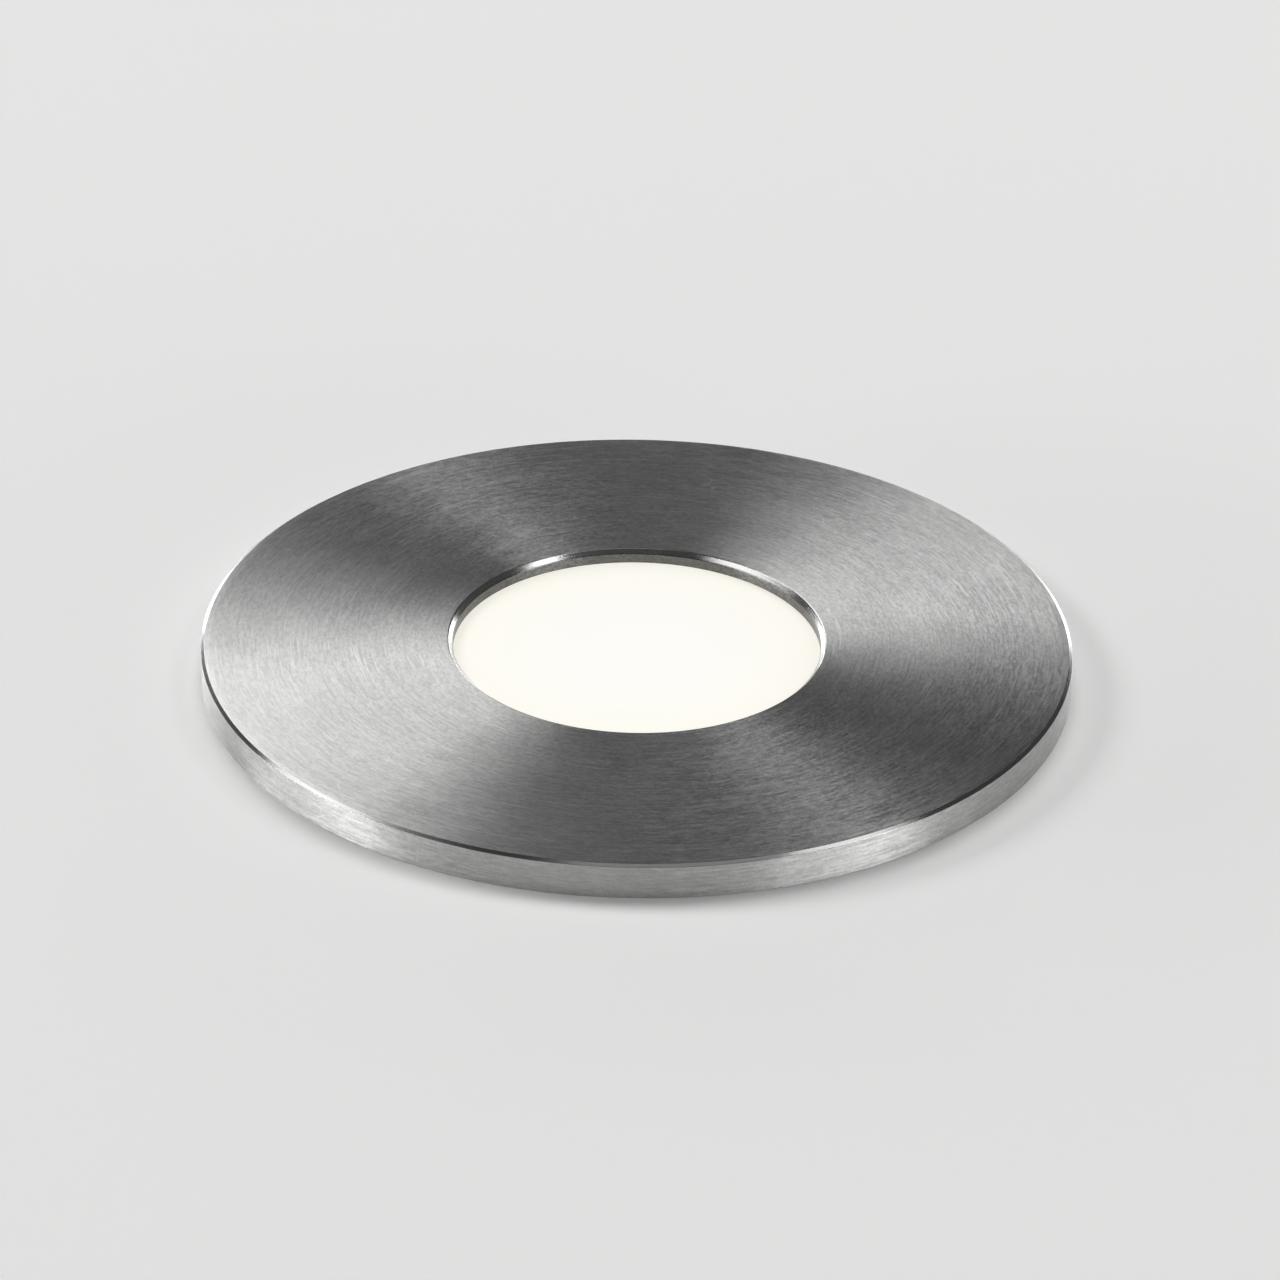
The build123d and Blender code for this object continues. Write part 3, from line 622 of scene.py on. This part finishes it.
# The lamps: name, azimuth and elevation in degrees, width and height in metres, watts, and what
# they light. The large ones hang high, so that they light the brushed face from far off its mirror
# directions, and the small ones stand low round the rim's wall. A small high one shows in the
# chamfer at the front right. The floor has its own three, which hang further off, give the shadow
# and put no more light on the metal.
LAMPS = (
    ("high_back", 110.3, 35.3, (0.448, 0.7), 4.62, "object"),
    ("high_left", 180.6, 47.2, (1.548, 0.584), 8.26, "object"),
    ("high_right", 339.2, 35.2, (0.36, 1.124), 6.99, "object"),
    ("low_left", 196.2, 3.4, (0.646, 0.148), 9.1, "all"),
    ("low_far_left", 172.6, 3.4, (0.402, 0.122), 4.3, "all"),
    ("low_back", 127.4, 3.7, (1.238, 0.158), 7.67, "all"),
    ("low_right", 323.2, 3.5, (1.151, 0.221), 8.5, "all"),
    ("low_far_right", 65.1, 3.5, (1.043, 0.207), 5.71, "all"),
    ("overhead", 11.9, 78.5, (0.63, 1.233), 1.35, "object"),
    ("edge_right", 9.0, 62.0, (0.36, 0.5), 1.1, "object"),
    ("floor_back", 90.0, 64.5, (2.2, 2.2), 62.4, "floor"),
    ("floor_left", 158.0, 33.0, (1.4, 1.2), 48.0, "floor"),
    ("floor_right", 25.0, 48.0, (1.4, 1.4), 22.3, "floor"),
)
LAMP_DISTANCE = {"object": 1.6, "all": 1.6, "floor": 4.0}


# Operators: one for each group of pieces --------------------------------------------------------


class INGROUND_OT_bezel(bpy.types.Operator):
    """Turns the bezel with its flange, aperture, skirt and inner thread"""

    bl_idname = "inground_light.bezel"
    bl_label = "Bezel and its seal"

    def execute(self, context):
        s = context.scene.inground_bezel
        rim, hole, top = s.rim_r / MM, s.aperture_r / MM, s.thickness / MM
        edge, mouth, foot = s.rim_break / MM, 0.38, 0.15
        inner, droop_start = rim - 1.4 * edge, rim - 0.75
        skirt_r, skirt_bore, skirt_foot = 25.2, 22.6, -10.0
        seal_inner, seal_outer, seal_top = 26.5, 31.0, 0.8
        seat_r, seat_foot = 19.3, -2.6

        def edge_finish_and_shade(f, out, z):
            """Masks: smoother, with a painted shade, on the rim's chamfer and the aperture's flare,
            and a painted shade with less grain in the bore below.
            """
            bore = f.between(out, (hole + 0.03) * MM, (hole + 0.09) * MM, 1, 0)
            flare = f.between(out, (hole + mouth + 0.02) * MM, (hole + mouth + 0.08) * MM, 1, 0)
            chamfer = f.between(out, (inner - 0.04) * MM, inner * MM) * f.between(
                z, (top - edge - 0.06) * MM, (top - edge - 0.02) * MM
            )
            return chamfer + flare * (1 - bore) * 0.8, bore

        steel = turned_metal(
            "brushed_steel", s.steel, s.roughness, s.anisotropy, 6.0, 0.27, 0.004, edge_finish_and_shade
        )
        corners = [
            (skirt_bore + 0.5, skirt_foot, 0.1),
            (skirt_r - 0.5, skirt_foot, 0.1),
            (skirt_r, skirt_foot + 0.5, 0.1),
            (skirt_r, 0.0, 0.3),
            (seal_inner, 0.0, 0.05),
            (seal_inner, seal_top, 0.05),
            (seal_outer, seal_top, 0.05),
            (seal_outer, 0.0, 0.05),
            (rim - foot, 0.0, 0.04),
            (rim, foot, 0.04),
            (rim, top - edge, 0.04),
            (inner, top - 0.03, 0.04),
            (droop_start, top, 0.3, 6),
            (hole + mouth, top, 0.25),
            (hole, top - 0.4, 0.1),
            (hole, GLASS_TOP, 0.05),
            (seat_r, GLASS_TOP, 0.1),
            (seat_r, seat_foot, 0.1),
            (skirt_bore, seat_foot, 0.1, 56),
            (skirt_bore, skirt_foot + 0.5, 0.1),
        ]
        points, normals = rounded(corners)
        pitch = context.scene.inground_lamp.thread_pitch
        groove = thread(-9.6 * MM, -3.2 * MM, pitch, THREAD_DEPTH * MM)
        wall = (np.abs(points[:, 0] - skirt_bore * MM) < 1e-6)[:, None]
        shape = turned(points, normals, s.segments, lambda a, z: np.where(wall, groove(a, z), 0.0))
        piece("bezel_plate", shape, steel, "bezel", "brushed_stainless", "bezel")
        rubber = moulded("black_rubber", (0.03, 0.03, 0.032), 0.62, 0.2, 0.004)
        dress(rubber, "surface_gasket", "neck_o_ring", "rear_cover_o_ring", "gland_o_ring")
        dress(rubber, "gland_seal", "wire_grommets")
        return {"FINISHED"}


class INGROUND_OT_glass(bpy.types.Operator):
    """Makes the satin glass disc that glows in the aperture"""

    bl_idname = "inground_light.glass"
    bl_label = "Glass and its gasket"

    def execute(self, context):
        s = context.scene.inground_glass
        r, bevel = s.radius / MM, 0.4
        corners = [
            (0.0, GLASS_BOTTOM, 0),
            (r - bevel, GLASS_BOTTOM, 0.1),
            (r, GLASS_BOTTOM + bevel, 0.1),
            (r, GLASS_TOP - bevel, 0.1),
            (r - bevel, GLASS_TOP, 0.1),
            (0.0, GLASS_TOP, 0),
        ]
        points, normals = rounded(corners, closed=False)
        reach = context.scene.inground_bezel.aperture_r
        glass = lit_glass("satin_glass", s.centre, s.edge, s.level, reach)
        shape = turned(points, normals, 192, closed=False)
        piece("window_glass", shape, glass, "lamp", "frosted_glass", "glass_lens")
        silicone = moulded("white_silicone", (0.82, 0.82, 0.8), 0.5, 0.3, 0.003)
        dress(silicone, "lens_gasket")
        return {"FINISHED"}


class INGROUND_OT_light_engine(bpy.types.Operator):
    """Finishes the diffuser, reflector, emitters, board and pad under the glass"""

    bl_idname = "inground_light.light_engine"
    bl_label = "Light engine"

    def execute(self, context):
        dress(moulded("opal_plastic", (0.93, 0.92, 0.88), 0.45, 0.4, 0.002), "diffuser")
        dress(moulded("white_plastic", (0.9, 0.9, 0.89), 0.22, 0.5, 0.001), "reflector")
        dress(moulded("emitter_phosphor", (0.95, 0.78, 0.3), 0.4, 0.12, 0.004), "led_emitters")
        dress(moulded("board_white", (0.88, 0.88, 0.86), 0.35, 0.2, 0.002), "led_board")
        dress(moulded("grey_pad", (0.5, 0.51, 0.53), 0.7, 0.3, 0.01), "thermal_pad")
        zinc = plain_metal("zinc_screw", (0.6, 0.6, 0.6), 0.32)
        dress(zinc, "board_screws", "terminal_screws", "block_screw")
        return {"FINISHED"}


class INGROUND_OT_wiring(bpy.types.Operator):
    """Finishes the leads and the terminal block"""

    bl_idname = "inground_light.wiring"
    bl_label = "Wiring"

    def execute(self, context):
        dress(moulded("red_insulation", (0.6, 0.03, 0.02), 0.4, 0.4, 0.002), "lead_positive")
        dress(moulded("black_insulation", (0.02, 0.02, 0.02), 0.4, 0.4, 0.002), "lead_negative")
        dress(moulded("terminal_plastic", (0.8, 0.8, 0.76), 0.42, 0.3, 0.004), "terminal_block")
        dress(plain_metal("brass", (0.72, 0.55, 0.27), 0.3), "terminal_clamps")
        return {"FINISHED"}


class INGROUND_OT_housing(bpy.types.Operator):
    """Finishes the finned housing and the rear cover"""

    bl_idname = "inground_light.housing"
    bl_label = "Housing and rear cover"

    # The lugs' faces lie this far from y = 0, and their ends have this radius, in millimetres
    lug_inner, lug_outer, lug_end_r = 3.25, 5.25, 2.2

    def execute(self, context):
        s = context.scene.inground_lamp
        aluminium = turned_metal("turned_aluminium", s.aluminium, 0.34, 0.4, 4.0, 0.14, 0.003)
        shape = joined(self.turn_body(s), *self.mill_lugs())
        piece("finned_housing", shape, aluminium, "lamp", "cast_aluminium", "housing")
        dress(aluminium, "rear_cover")
        dress(plain_metal("stainless_hardware", (0.6, 0.6, 0.59), 0.28), "rear_cover_screws")
        return {"FINISHED"}

    def turn_body(self, s):
        """The body turned from its web out and up, then planed flat where the clips' coils sit.

        Between the lugs a flat holds x at a lug's end radius in from its pin.
        """
        body, root, half_gap = s.body_r / MM, s.fin_root_r / MM, 0.9
        collar_r, collar_foot, collar_top = 25.2, -12.4, -10.4
        neck_r, neck_top = 22.4, -3.2
        ring_r, ring_foot, ring_top = 20.9, -9.2, -7.3
        lower_bore, foot, web_foot = 16.8, -31, -16.5
        upper_bore, web_top = 17.0, -13.5
        corners = [
            (0, web_foot, 0),
            (lower_bore, web_foot, 0.4),
            (lower_bore, foot, 0.1),
            (body, foot, 0.25),
        ]
        for middle in (-23.6, -20.4, -17.2, -14.0):
            corners += [
                (body, middle - half_gap, 0.18),
                (root, middle - half_gap, 0.3),
                (root, middle + half_gap, 0.3),
                (body, middle + half_gap, 0.18),
            ]
        corners += [
            (body, collar_foot, 0.2),
            (collar_r, collar_foot, 0.25),
            (collar_r, collar_top, 0.25),
            (neck_r, collar_top, 0.2),
            (neck_r, ring_foot, 0.12),
            (ring_r, ring_foot, 0.15),
            (ring_r, ring_top, 0.15),
            (neck_r, ring_top, 0.12, 40),
            (neck_r, neck_top, 0.15),
            (upper_bore, neck_top, 0.2),
            (upper_bore, web_top, 0.3),
            (0, web_top, 0),
        ]
        points, normals = rounded(corners, closed=False, arc=3)
        neck = (np.abs(points[:, 0] - neck_r * MM) < 1e-6)[:, None]
        cut = thread(-7.1 * MM, -3.4 * MM, s.thread_pitch, THREAD_DEPTH * MM)
        xyz, n, faces = turned(
            points, normals, 448, lambda a, z: np.where(neck, -cut(a, z), 0.0), closed=False
        )
        x, y, z = xyz.T
        flat = (PIVOT_X - self.lug_end_r) * MM
        low, high = (foot - 0.01) * MM, (collar_foot - 0.05) * MM
        planed = (np.abs(y) < self.lug_inner * MM) & (z > low) & (z < high) & (np.abs(x) > flat)
        walls = planed & (np.abs(n[:, 2]) < 0.5)
        n[walls] = np.stack([np.sign(x), 0 * x, 0 * x], 1)[walls]
        xyz[planed, 0] = np.sign(x[planed]) * flat
        return xyz, n, faces

    def mill_lugs(self):
        """Four round-ended plates that carry the clips' pins, two on each side."""
        root, end_r = 20.6, self.lug_end_r
        outline = [
            (root, PIVOT_Z - end_r, 0.1),
            (PIVOT_X + end_r, PIVOT_Z - end_r, end_r - 0.01),
            (PIVOT_X + end_r, PIVOT_Z + end_r, end_r - 0.01),
            (root, PIVOT_Z + end_r, 0.1),
        ]
        points, normals = rounded(outline, arc=10)
        half = Matrix.Rotation(pi, 4, "Z")
        inner, outer = self.lug_inner * MM, self.lug_outer * MM
        near = plate(points, normals, -outer, -inner, 0.2 * MM)
        far = plate(points, normals, inner, outer, 0.2 * MM)
        return near, far, moved(near, half), moved(far, half)


class INGROUND_OT_gland(bpy.types.Operator):
    """Finishes the cable gland"""

    bl_idname = "inground_light.gland"
    bl_label = "Cable gland"

    def execute(self, context):
        nickel = plain_metal("nickel_plate", (0.66, 0.64, 0.6), 0.24, 0.4, 0.001)
        flat, chamfer_r, chamfer = 7.0, 7.1, 0.57
        wide = 2 * flat / 3**0.5
        stem, bore, pocket, pocket_top = 5.95, 3.5, 5.0, -40.4
        foot, hex_foot, hex_top, head = -45, -39, -35, -29
        body = [
            (pocket, foot, 0.1),
            (stem, foot, 0.15),
            (stem, hex_foot, 0.05),
            (chamfer_r, hex_foot, 0.05, 8),
            (wide, hex_foot + chamfer, 0.1),
            (wide, hex_top - chamfer, 0.1, 8),
            (chamfer_r, hex_top, 0.05),
            (stem, hex_top, 0.05),
            (stem, head, 0.15),
            (bore, head, 0.15),
            (bore, pocket_top, 0.05),
            (pocket, pocket_top, 0.05),
        ]
        mouth, tip, dome_top, nut_top, dome_r = 3.7, -49.8, -45.4, -39.4, 5.66
        cone_top, cone_foot = (6.05, -45.1), (4.95, -46.9)
        bend = np.linspace(pi / 3.4, 0, 9)[1:-1]
        dome = [
            (flat - dome_r + dome_r * cos(b), dome_top - dome_r * sin(b) * 0.98, 2.0) for b in bend
        ]
        nut = [
            (mouth, tip, 0.3),
            (4.9, tip, 0.25),
            *dome,
            (flat, dome_top, 0.05, 8),
            (wide, dome_top + chamfer, 0.1),
            (wide, nut_top - chamfer, 0.1, 8),
            (chamfer_r, nut_top, 0.05),
            (cone_top[0], nut_top, 0.1),
            (*cone_top, 0.05),
            (*cone_foot, 0.05),
            (mouth, cone_foot[1], 0.05),
        ]
        for name, corners, node in (
            ("gland_base", body, "gland_body"),
            ("gland_dome_nut", nut, "gland_nut"),
        ):
            shape = turned(*rounded(corners), 192, across=flat * MM)
            piece(name, shape, nickel, "lamp", "nickel_brass", node)
        dress(moulded("gland_nylon", (0.1, 0.1, 0.1), 0.4, 0.3, 0.003), "gland_claw")
        return {"FINISHED"}


class INGROUND_OT_clips(bpy.types.Operator):
    """Finishes the sprung clips with their pins and coil springs"""

    bl_idname = "inground_light.clips"
    bl_label = "Sprung clips"

    def execute(self, context):
        s = context.scene.inground_clip
        strip = plain_metal("sprung_strip", s.steel, 0.3, 0.12, 0.001, (1, 1, 0.06))
        wire = plain_metal("spring_wire", s.steel, 0.22, 0.3, 0.001)
        shank = plain_metal("pin_steel", (0.62, 0.62, 0.61), 0.24, 0.3, 0.001)
        for side, turn in (("right", 0), ("left", pi)):
            half = Matrix.Rotation(turn, 4, "Z")
            body, reach = "clip_" + side, SPRING_PITCH * SPRING_TURNS / 2
            ends = [half @ Vector((PIVOT_X, y, PIVOT_Z)) * MM for y in (-reach, reach)]
            wound = ("lamp", body, *ends)
            for name, node, shape, finish, owner, slot in (
                ("sprung_arm_", "clip_arm_", self.press_arm(s), strip, body, "spring_steel"),
                ("coil_spring_", "clip_spring_", self.wind_spring(), wire, wound, "spring_steel"),
                ("hinge_pin_", "clip_pin_", self.turn_pin(), shank, "lamp", "stainless_hardware"),
            ):
                piece(name + side, moved(shape, half), finish, owner, slot, node + side)
        return {"FINISHED"}

    def press_arm(self, s):
        """A strip with a curled tip, and two cheeks that turn on the pin."""
        outer, thick, wide = PIVOT_X + 2.8, s.sheet / MM, s.half_width
        curl, lip, tip, foot = 0.6, 1.6, -14.2, -29.1
        strip = [
            (outer - thick, foot, 0.12),
            (outer, foot, 0.12),
            (outer, tip, thick + curl),
            (outer - lip, tip, 0.12),
            (outer - lip, tip - thick, 0.12),
            (outer - thick, tip - thick, curl),
        ]
        cheek_r, back, cheek_top = 2.0, 26.9, -18.4
        cheek = [
            (back, PIVOT_Z - cheek_r, 0.25),
            (back, cheek_top, 0.15),
            (PIVOT_X + 1.6, cheek_top, 0.3),
            (PIVOT_X, PIVOT_Z + cheek_r, 0.1),
            (PIVOT_X - cheek_r, PIVOT_Z + cheek_r, cheek_r - 0.11),
            (PIVOT_X - cheek_r, PIVOT_Z - cheek_r, cheek_r - 0.11),
        ]
        side = rounded(cheek, arc=8)
        return joined(
            plate(*rounded(strip, arc=8), -wide, wide, 0.12 * MM),
            plate(*side, -wide, s.sheet - wide, 0.1 * MM),
            plate(*side, wide - s.sheet, wide, 0.1 * MM),
        )

    def wind_spring(self):
        """Wire in three and a half turns round the pin, with a straight leg at each end.

        The first leg lies by the housing, the last by the arm, and the turns wind between.
        On the coil a point lies at (pivot x - r cos a, pitch * turns, pivot z - r sin a).
        """
        r, wire_r, leg = 1.8 * MM, 0.3 * MM, 6.0 * MM
        rise = np.linspace(leg, 0, 8)[:-1]
        turn = np.linspace(0, SPRING_TURNS, 155)
        x = PIVOT_X * MM - r * np.cos(turn * ROUND)
        y = SPRING_PITCH * MM * (turn - SPRING_TURNS / 2)
        z = PIVOT_Z * MM - r * np.sin(turn * ROUND)
        coil = np.stack([x, y, z], 1)
        legs = [np.repeat(end[None], len(rise), 0) for end in (coil[0], coil[-1])]
        legs[0][:, 2] += rise
        legs[1][:, 2] += rise[::-1]
        return swept(np.concatenate([legs[0], coil, legs[1]]), wire_r)

    def turn_pin(self):
        """A headed pin turned round Z and then laid along Y through the lugs."""
        r, head_r, half, head = 1.0, 1.5, 5.35, 5.85
        corners = [
            (0, -half, 0),
            (r, -half, 0.15),
            (r, half, 0.03),
            (head_r, half, 0.1),
            (head_r, head, 0.3),
            (0, head, 0),
        ]
        shape = turned(*rounded(corners, closed=False), 48, closed=False)
        place = Matrix.Translation((PIVOT_X * MM, 0, PIVOT_Z * MM))
        return moved(shape, place @ Matrix.Rotation(pi / 2, 4, "X"))


class INGROUND_OT_sleeve(bpy.types.Operator):
    """Moulds the ribbed plastic sleeve set in the ground"""

    bl_idname = "inground_light.sleeve"
    bl_label = "Ground sleeve"

    def execute(self, context):
        plastic = moulded("sleeve_plastic", (0.055, 0.057, 0.06), 0.42, 0.3, 0.006)
        piece("ribbed_sleeve", self.mould(), plastic, "sleeve", "sleeve_plastic", "ground_sleeve")
        return {"FINISHED"}

    def mould(self):
        """A tube with grooves round it and an arched notch in its foot at each end of Y.

        Within an arch's radius of a notch's middle the foot lies at spring + the square root of
        (arch squared - x squared). Points under the hinge move up with it: z' = hinge + (z - hinge)
        times (low - hinge) / (foot - hinge). The foot's normals are square to its run: (rise, -run)
        over their length.
        """
        r, bore, foot, hinge, arch, spring = SLEEVE_R, 27.5, -80.0, -60.0, 7.0, -71.0
        deep, half_groove, half_floor, lead = 0.5, 0.9, 0.5, 1.0
        corners = [(r, foot, 0.15, 12)]
        for middle in np.arange(-57.0, -4.0, 4.0):
            corners += [
                (r, middle - half_groove, 0.15),
                (r - deep, middle - half_floor, 0.25),
                (r - deep, middle + half_floor, 0.25),
                (r, middle + half_groove, 0.15),
            ]
        corners += [(r, 0, 0.3), (bore + lead, 0, 0.2), (bore, -lead, 0.2, 20), (bore, foot, 0.15)]
        points, normals = rounded(corners, arc=3)
        half = np.arcsin(arch / r) + 0.001
        steps = np.arcsin(arch * np.sin(np.linspace(-pi / 2, pi / 2, 25)) / r)
        notch = np.concatenate([[-half], steps, [half]])
        between = np.linspace(half, pi - half, 90)[1:-1]
        angle = np.concatenate([notch, between, notch + pi, between + pi]) + pi / 2
        low = np.full(angle.shape, foot)
        crown = spring + np.sqrt(np.maximum(arch**2 - (r * np.sin(steps)) ** 2, 0))
        for start in (1, len(notch) + len(between) + 1):
            low[start : start + len(steps)] = crown
        rise = np.roll(low, -1) - np.roll(low, 1)
        run = r * ((np.roll(angle, -1) - np.roll(angle, 1)) % ROUND)
        size = np.hypot(rise, run)
        z = np.repeat(points[:, 1:], len(angle), 1)
        under = z < hinge * MM
        share = (low - hinge) / (foot - hinge)
        z = np.where(under, hinge * MM + (z - hinge * MM) * share, z)
        n_a = np.where(under, -normals[:, 1:] * rise / size, 0)
        n_z = np.where(under, normals[:, 1:] * run / size, normals[:, 1:])
        c, s, n_r = np.cos(angle), np.sin(angle), normals[:, :1]
        xyz = np.stack([points[:, :1] * c, points[:, :1] * s, z], 2)
        n = np.stack([n_r * c - n_a * s, n_r * s + n_a * c, n_z], 2)
        index = np.arange(z.size).reshape(z.shape)
        quads = ringed(np.concatenate([index, index[:1]]))
        return xyz.reshape(-1, 3), n.reshape(-1, 3), quads.tolist()


class INGROUND_OT_stage(bpy.types.Operator):
    """Lays the pale floor, hangs the lamps listed above and sets the camera"""

    bl_idname = "inground_light.stage"
    bl_label = "Stage"

    def execute(self, context):
        s = context.scene.inground_stage
        floor = self.lay_floor(s)
        receivers = {
            "all": None,
            "object": self.receivers("all_but_floor", floor, "EXCLUDE"),
            "floor": self.receivers("floor_alone", floor, "INCLUDE"),
        }
        for name, azimuth, elevation, size, power, lit in LAMPS:
            away = LAMP_DISTANCE[lit]
            self.hang_lamp(name, azimuth, elevation, away, size, power * s.lamps, receivers[lit])
        self.set_world(context, s)
        self.set_camera(context)
        context.scene.view_settings.view_transform = "Standard"
        return {"FINISHED"}

    def lay_floor(self, s):
        """A disc with a hole for the sleeve, whose underside can't be seen and lets light by."""
        segments = 256
        angle = np.arange(segments) * ROUND / segments
        radii = np.array([SLEEVE_R * MM, 0.08, 0.3, 1.2, 6.0])[:, None]
        xyz = np.stack([radii * np.cos(angle), radii * np.sin(angle), 0 * radii * angle], 2)
        index = np.arange(len(radii) * segments).reshape(len(radii), segments)
        mesh = bpy.data.meshes.new("floor")
        faces = ringed(index, upward_first=True).tolist()
        mesh.from_pydata(xyz.reshape(-1, 3).tolist(), [], faces)
        floor = bpy.data.objects.new("floor", mesh)
        bpy.context.scene.collection.objects.link(floor)
        f = new_finish("pale_floor")
        behind = f.node("ShaderNodeNewGeometry", None, None, "Backfacing")
        path = f.node("ShaderNodeLightPath", None, None, "Is Camera Ray")
        glossy = Term(f, f.find(path.socket.node.outputs, "Is Glossy Ray"))
        paint = f.node(
            "ShaderNodeBsdfPrincipled",
            None,
            {
                "Base Color": s.floor,
                "Roughness": 0.7,
                "Specular IOR Level": 0.2,
                "Emission Color": (1.0, 1.0, 0.99),
                "Emission Strength": (path + glossy) * s.floor_lift,
            },
        )
        clear = f.node("ShaderNodeBsdfTransparent")
        f.surface("ShaderNodeMixShader", {0: behind, 1: paint, 2: clear})
        mesh.materials.append(f.owner)
        return floor

    def receivers(self, name, floor, state):
        """A collection that lets a lamp light the floor alone, or everything but the floor."""
        lit = bpy.data.collections.new(name)
        lit.objects.link(floor)
        lit.collection_objects[0].light_linking.link_state = state
        return lit

    def hang_lamp(self, name, azimuth, elevation, distance, size, power, lit):
        """Hangs an area lamp that faces the middle of the object."""
        lamp = bpy.data.lights.new(name, "AREA")
        lamp.shape, lamp.size, lamp.size_y, lamp.energy = "RECTANGLE", *size, power
        hung = bpy.data.objects.new(name, lamp)
        bpy.context.scene.collection.objects.link(hung)
        turn = Matrix.Rotation(radians(azimuth + 90), 4, "Z") @ Matrix.Rotation(
            radians(90 - elevation), 4, "X"
        )
        hung.matrix_world = turn @ Matrix.Translation((0, 0, distance))
        hung.light_linking.receiver_collection = lit

    def set_world(self, context, s):
        """Pale for the camera; for other rays pale at the horizon and dim overhead."""
        world = bpy.data.worlds.new("studio")
        context.scene.world = world
        f = Finish(world)
        up = f.place("Generated")[2]
        horizon, overhead = 0.84, 0.087
        sky = f.between(up, 0.02, 0.22, horizon, overhead)
        camera = f.node("ShaderNodeLightPath", None, None, "Is Camera Ray")
        level = camera * s.backdrop + (1 - camera) * sky
        glow = f.node("ShaderNodeBackground", None, {"Color": (1, 1, 1), "Strength": level})
        f.node("ShaderNodeOutputWorld", None, {"Surface": glow})

    def set_camera(self, context):
        """The camera that the bezel's outline in the photograph was fitted with."""
        aim, distance, tip, roll = (0.25 * MM, -0.4 * MM, 3.0 * MM), 0.46, 29.3, 1.0
        lens = bpy.data.cameras.new("photograph")
        lens.lens, lens.sensor_width, lens.clip_start = 161.04, 36.0, 0.01
        camera = bpy.data.objects.new("photograph", lens)
        context.scene.collection.objects.link(camera)
        camera.matrix_world = (
            Matrix.Translation(aim)
            @ Matrix.Rotation(radians(90 - tip), 4, "X")
            @ Matrix.Rotation(radians(roll), 4, "Z")
            @ Matrix.Translation((0, 0, distance))
        )
        context.scene.camera = camera


class INGROUND_PT_panel(bpy.types.Panel):
    """Lists the pieces in the sidebar"""

    bl_idname = "INGROUND_PT_panel"
    bl_label = "In-ground light"
    bl_space_type = "VIEW_3D"
    bl_region_type = "UI"
    bl_category = "In-ground light"

    def draw(self, context):
        for operator in OPERATORS:
            self.layout.operator(operator.bl_idname)
        for name, group in SETTINGS.items():
            box = self.layout.box()
            for key in group.__annotations__:
                box.prop(getattr(context.scene, name), key)


SETTINGS = {
    "inground_bezel": BezelSizes,
    "inground_glass": GlassSizes,
    "inground_lamp": LampSizes,
    "inground_clip": ClipSizes,
    "inground_stage": StageSizes,
}
OPERATORS = (
    INGROUND_OT_bezel,
    INGROUND_OT_glass,
    INGROUND_OT_light_engine,
    INGROUND_OT_wiring,
    INGROUND_OT_housing,
    INGROUND_OT_gland,
    INGROUND_OT_clips,
    INGROUND_OT_sleeve,
    INGROUND_OT_stage,
)


def register():
    for group in SETTINGS.values():
        bpy.utils.register_class(group)
    for name, group in SETTINGS.items():
        setattr(bpy.types.Scene, name, PointerProperty(type=group))
    for operator in OPERATORS:
        bpy.utils.register_class(operator)
    bpy.utils.register_class(INGROUND_PT_panel)


def unregister():
    bpy.utils.unregister_class(INGROUND_PT_panel)
    for operator in reversed(OPERATORS):
        bpy.utils.unregister_class(operator)
    for name in SETTINGS:
        delattr(bpy.types.Scene, name)
    for group in reversed(list(SETTINGS.values())):
        bpy.utils.unregister_class(group)


def main():
    register()
    for operator in OPERATORS:
        group, name = operator.bl_idname.split(".")
        getattr(getattr(bpy.ops, group), name)()
    bpy.context.view_layer.update()


if __name__ == "__main__":
    main()
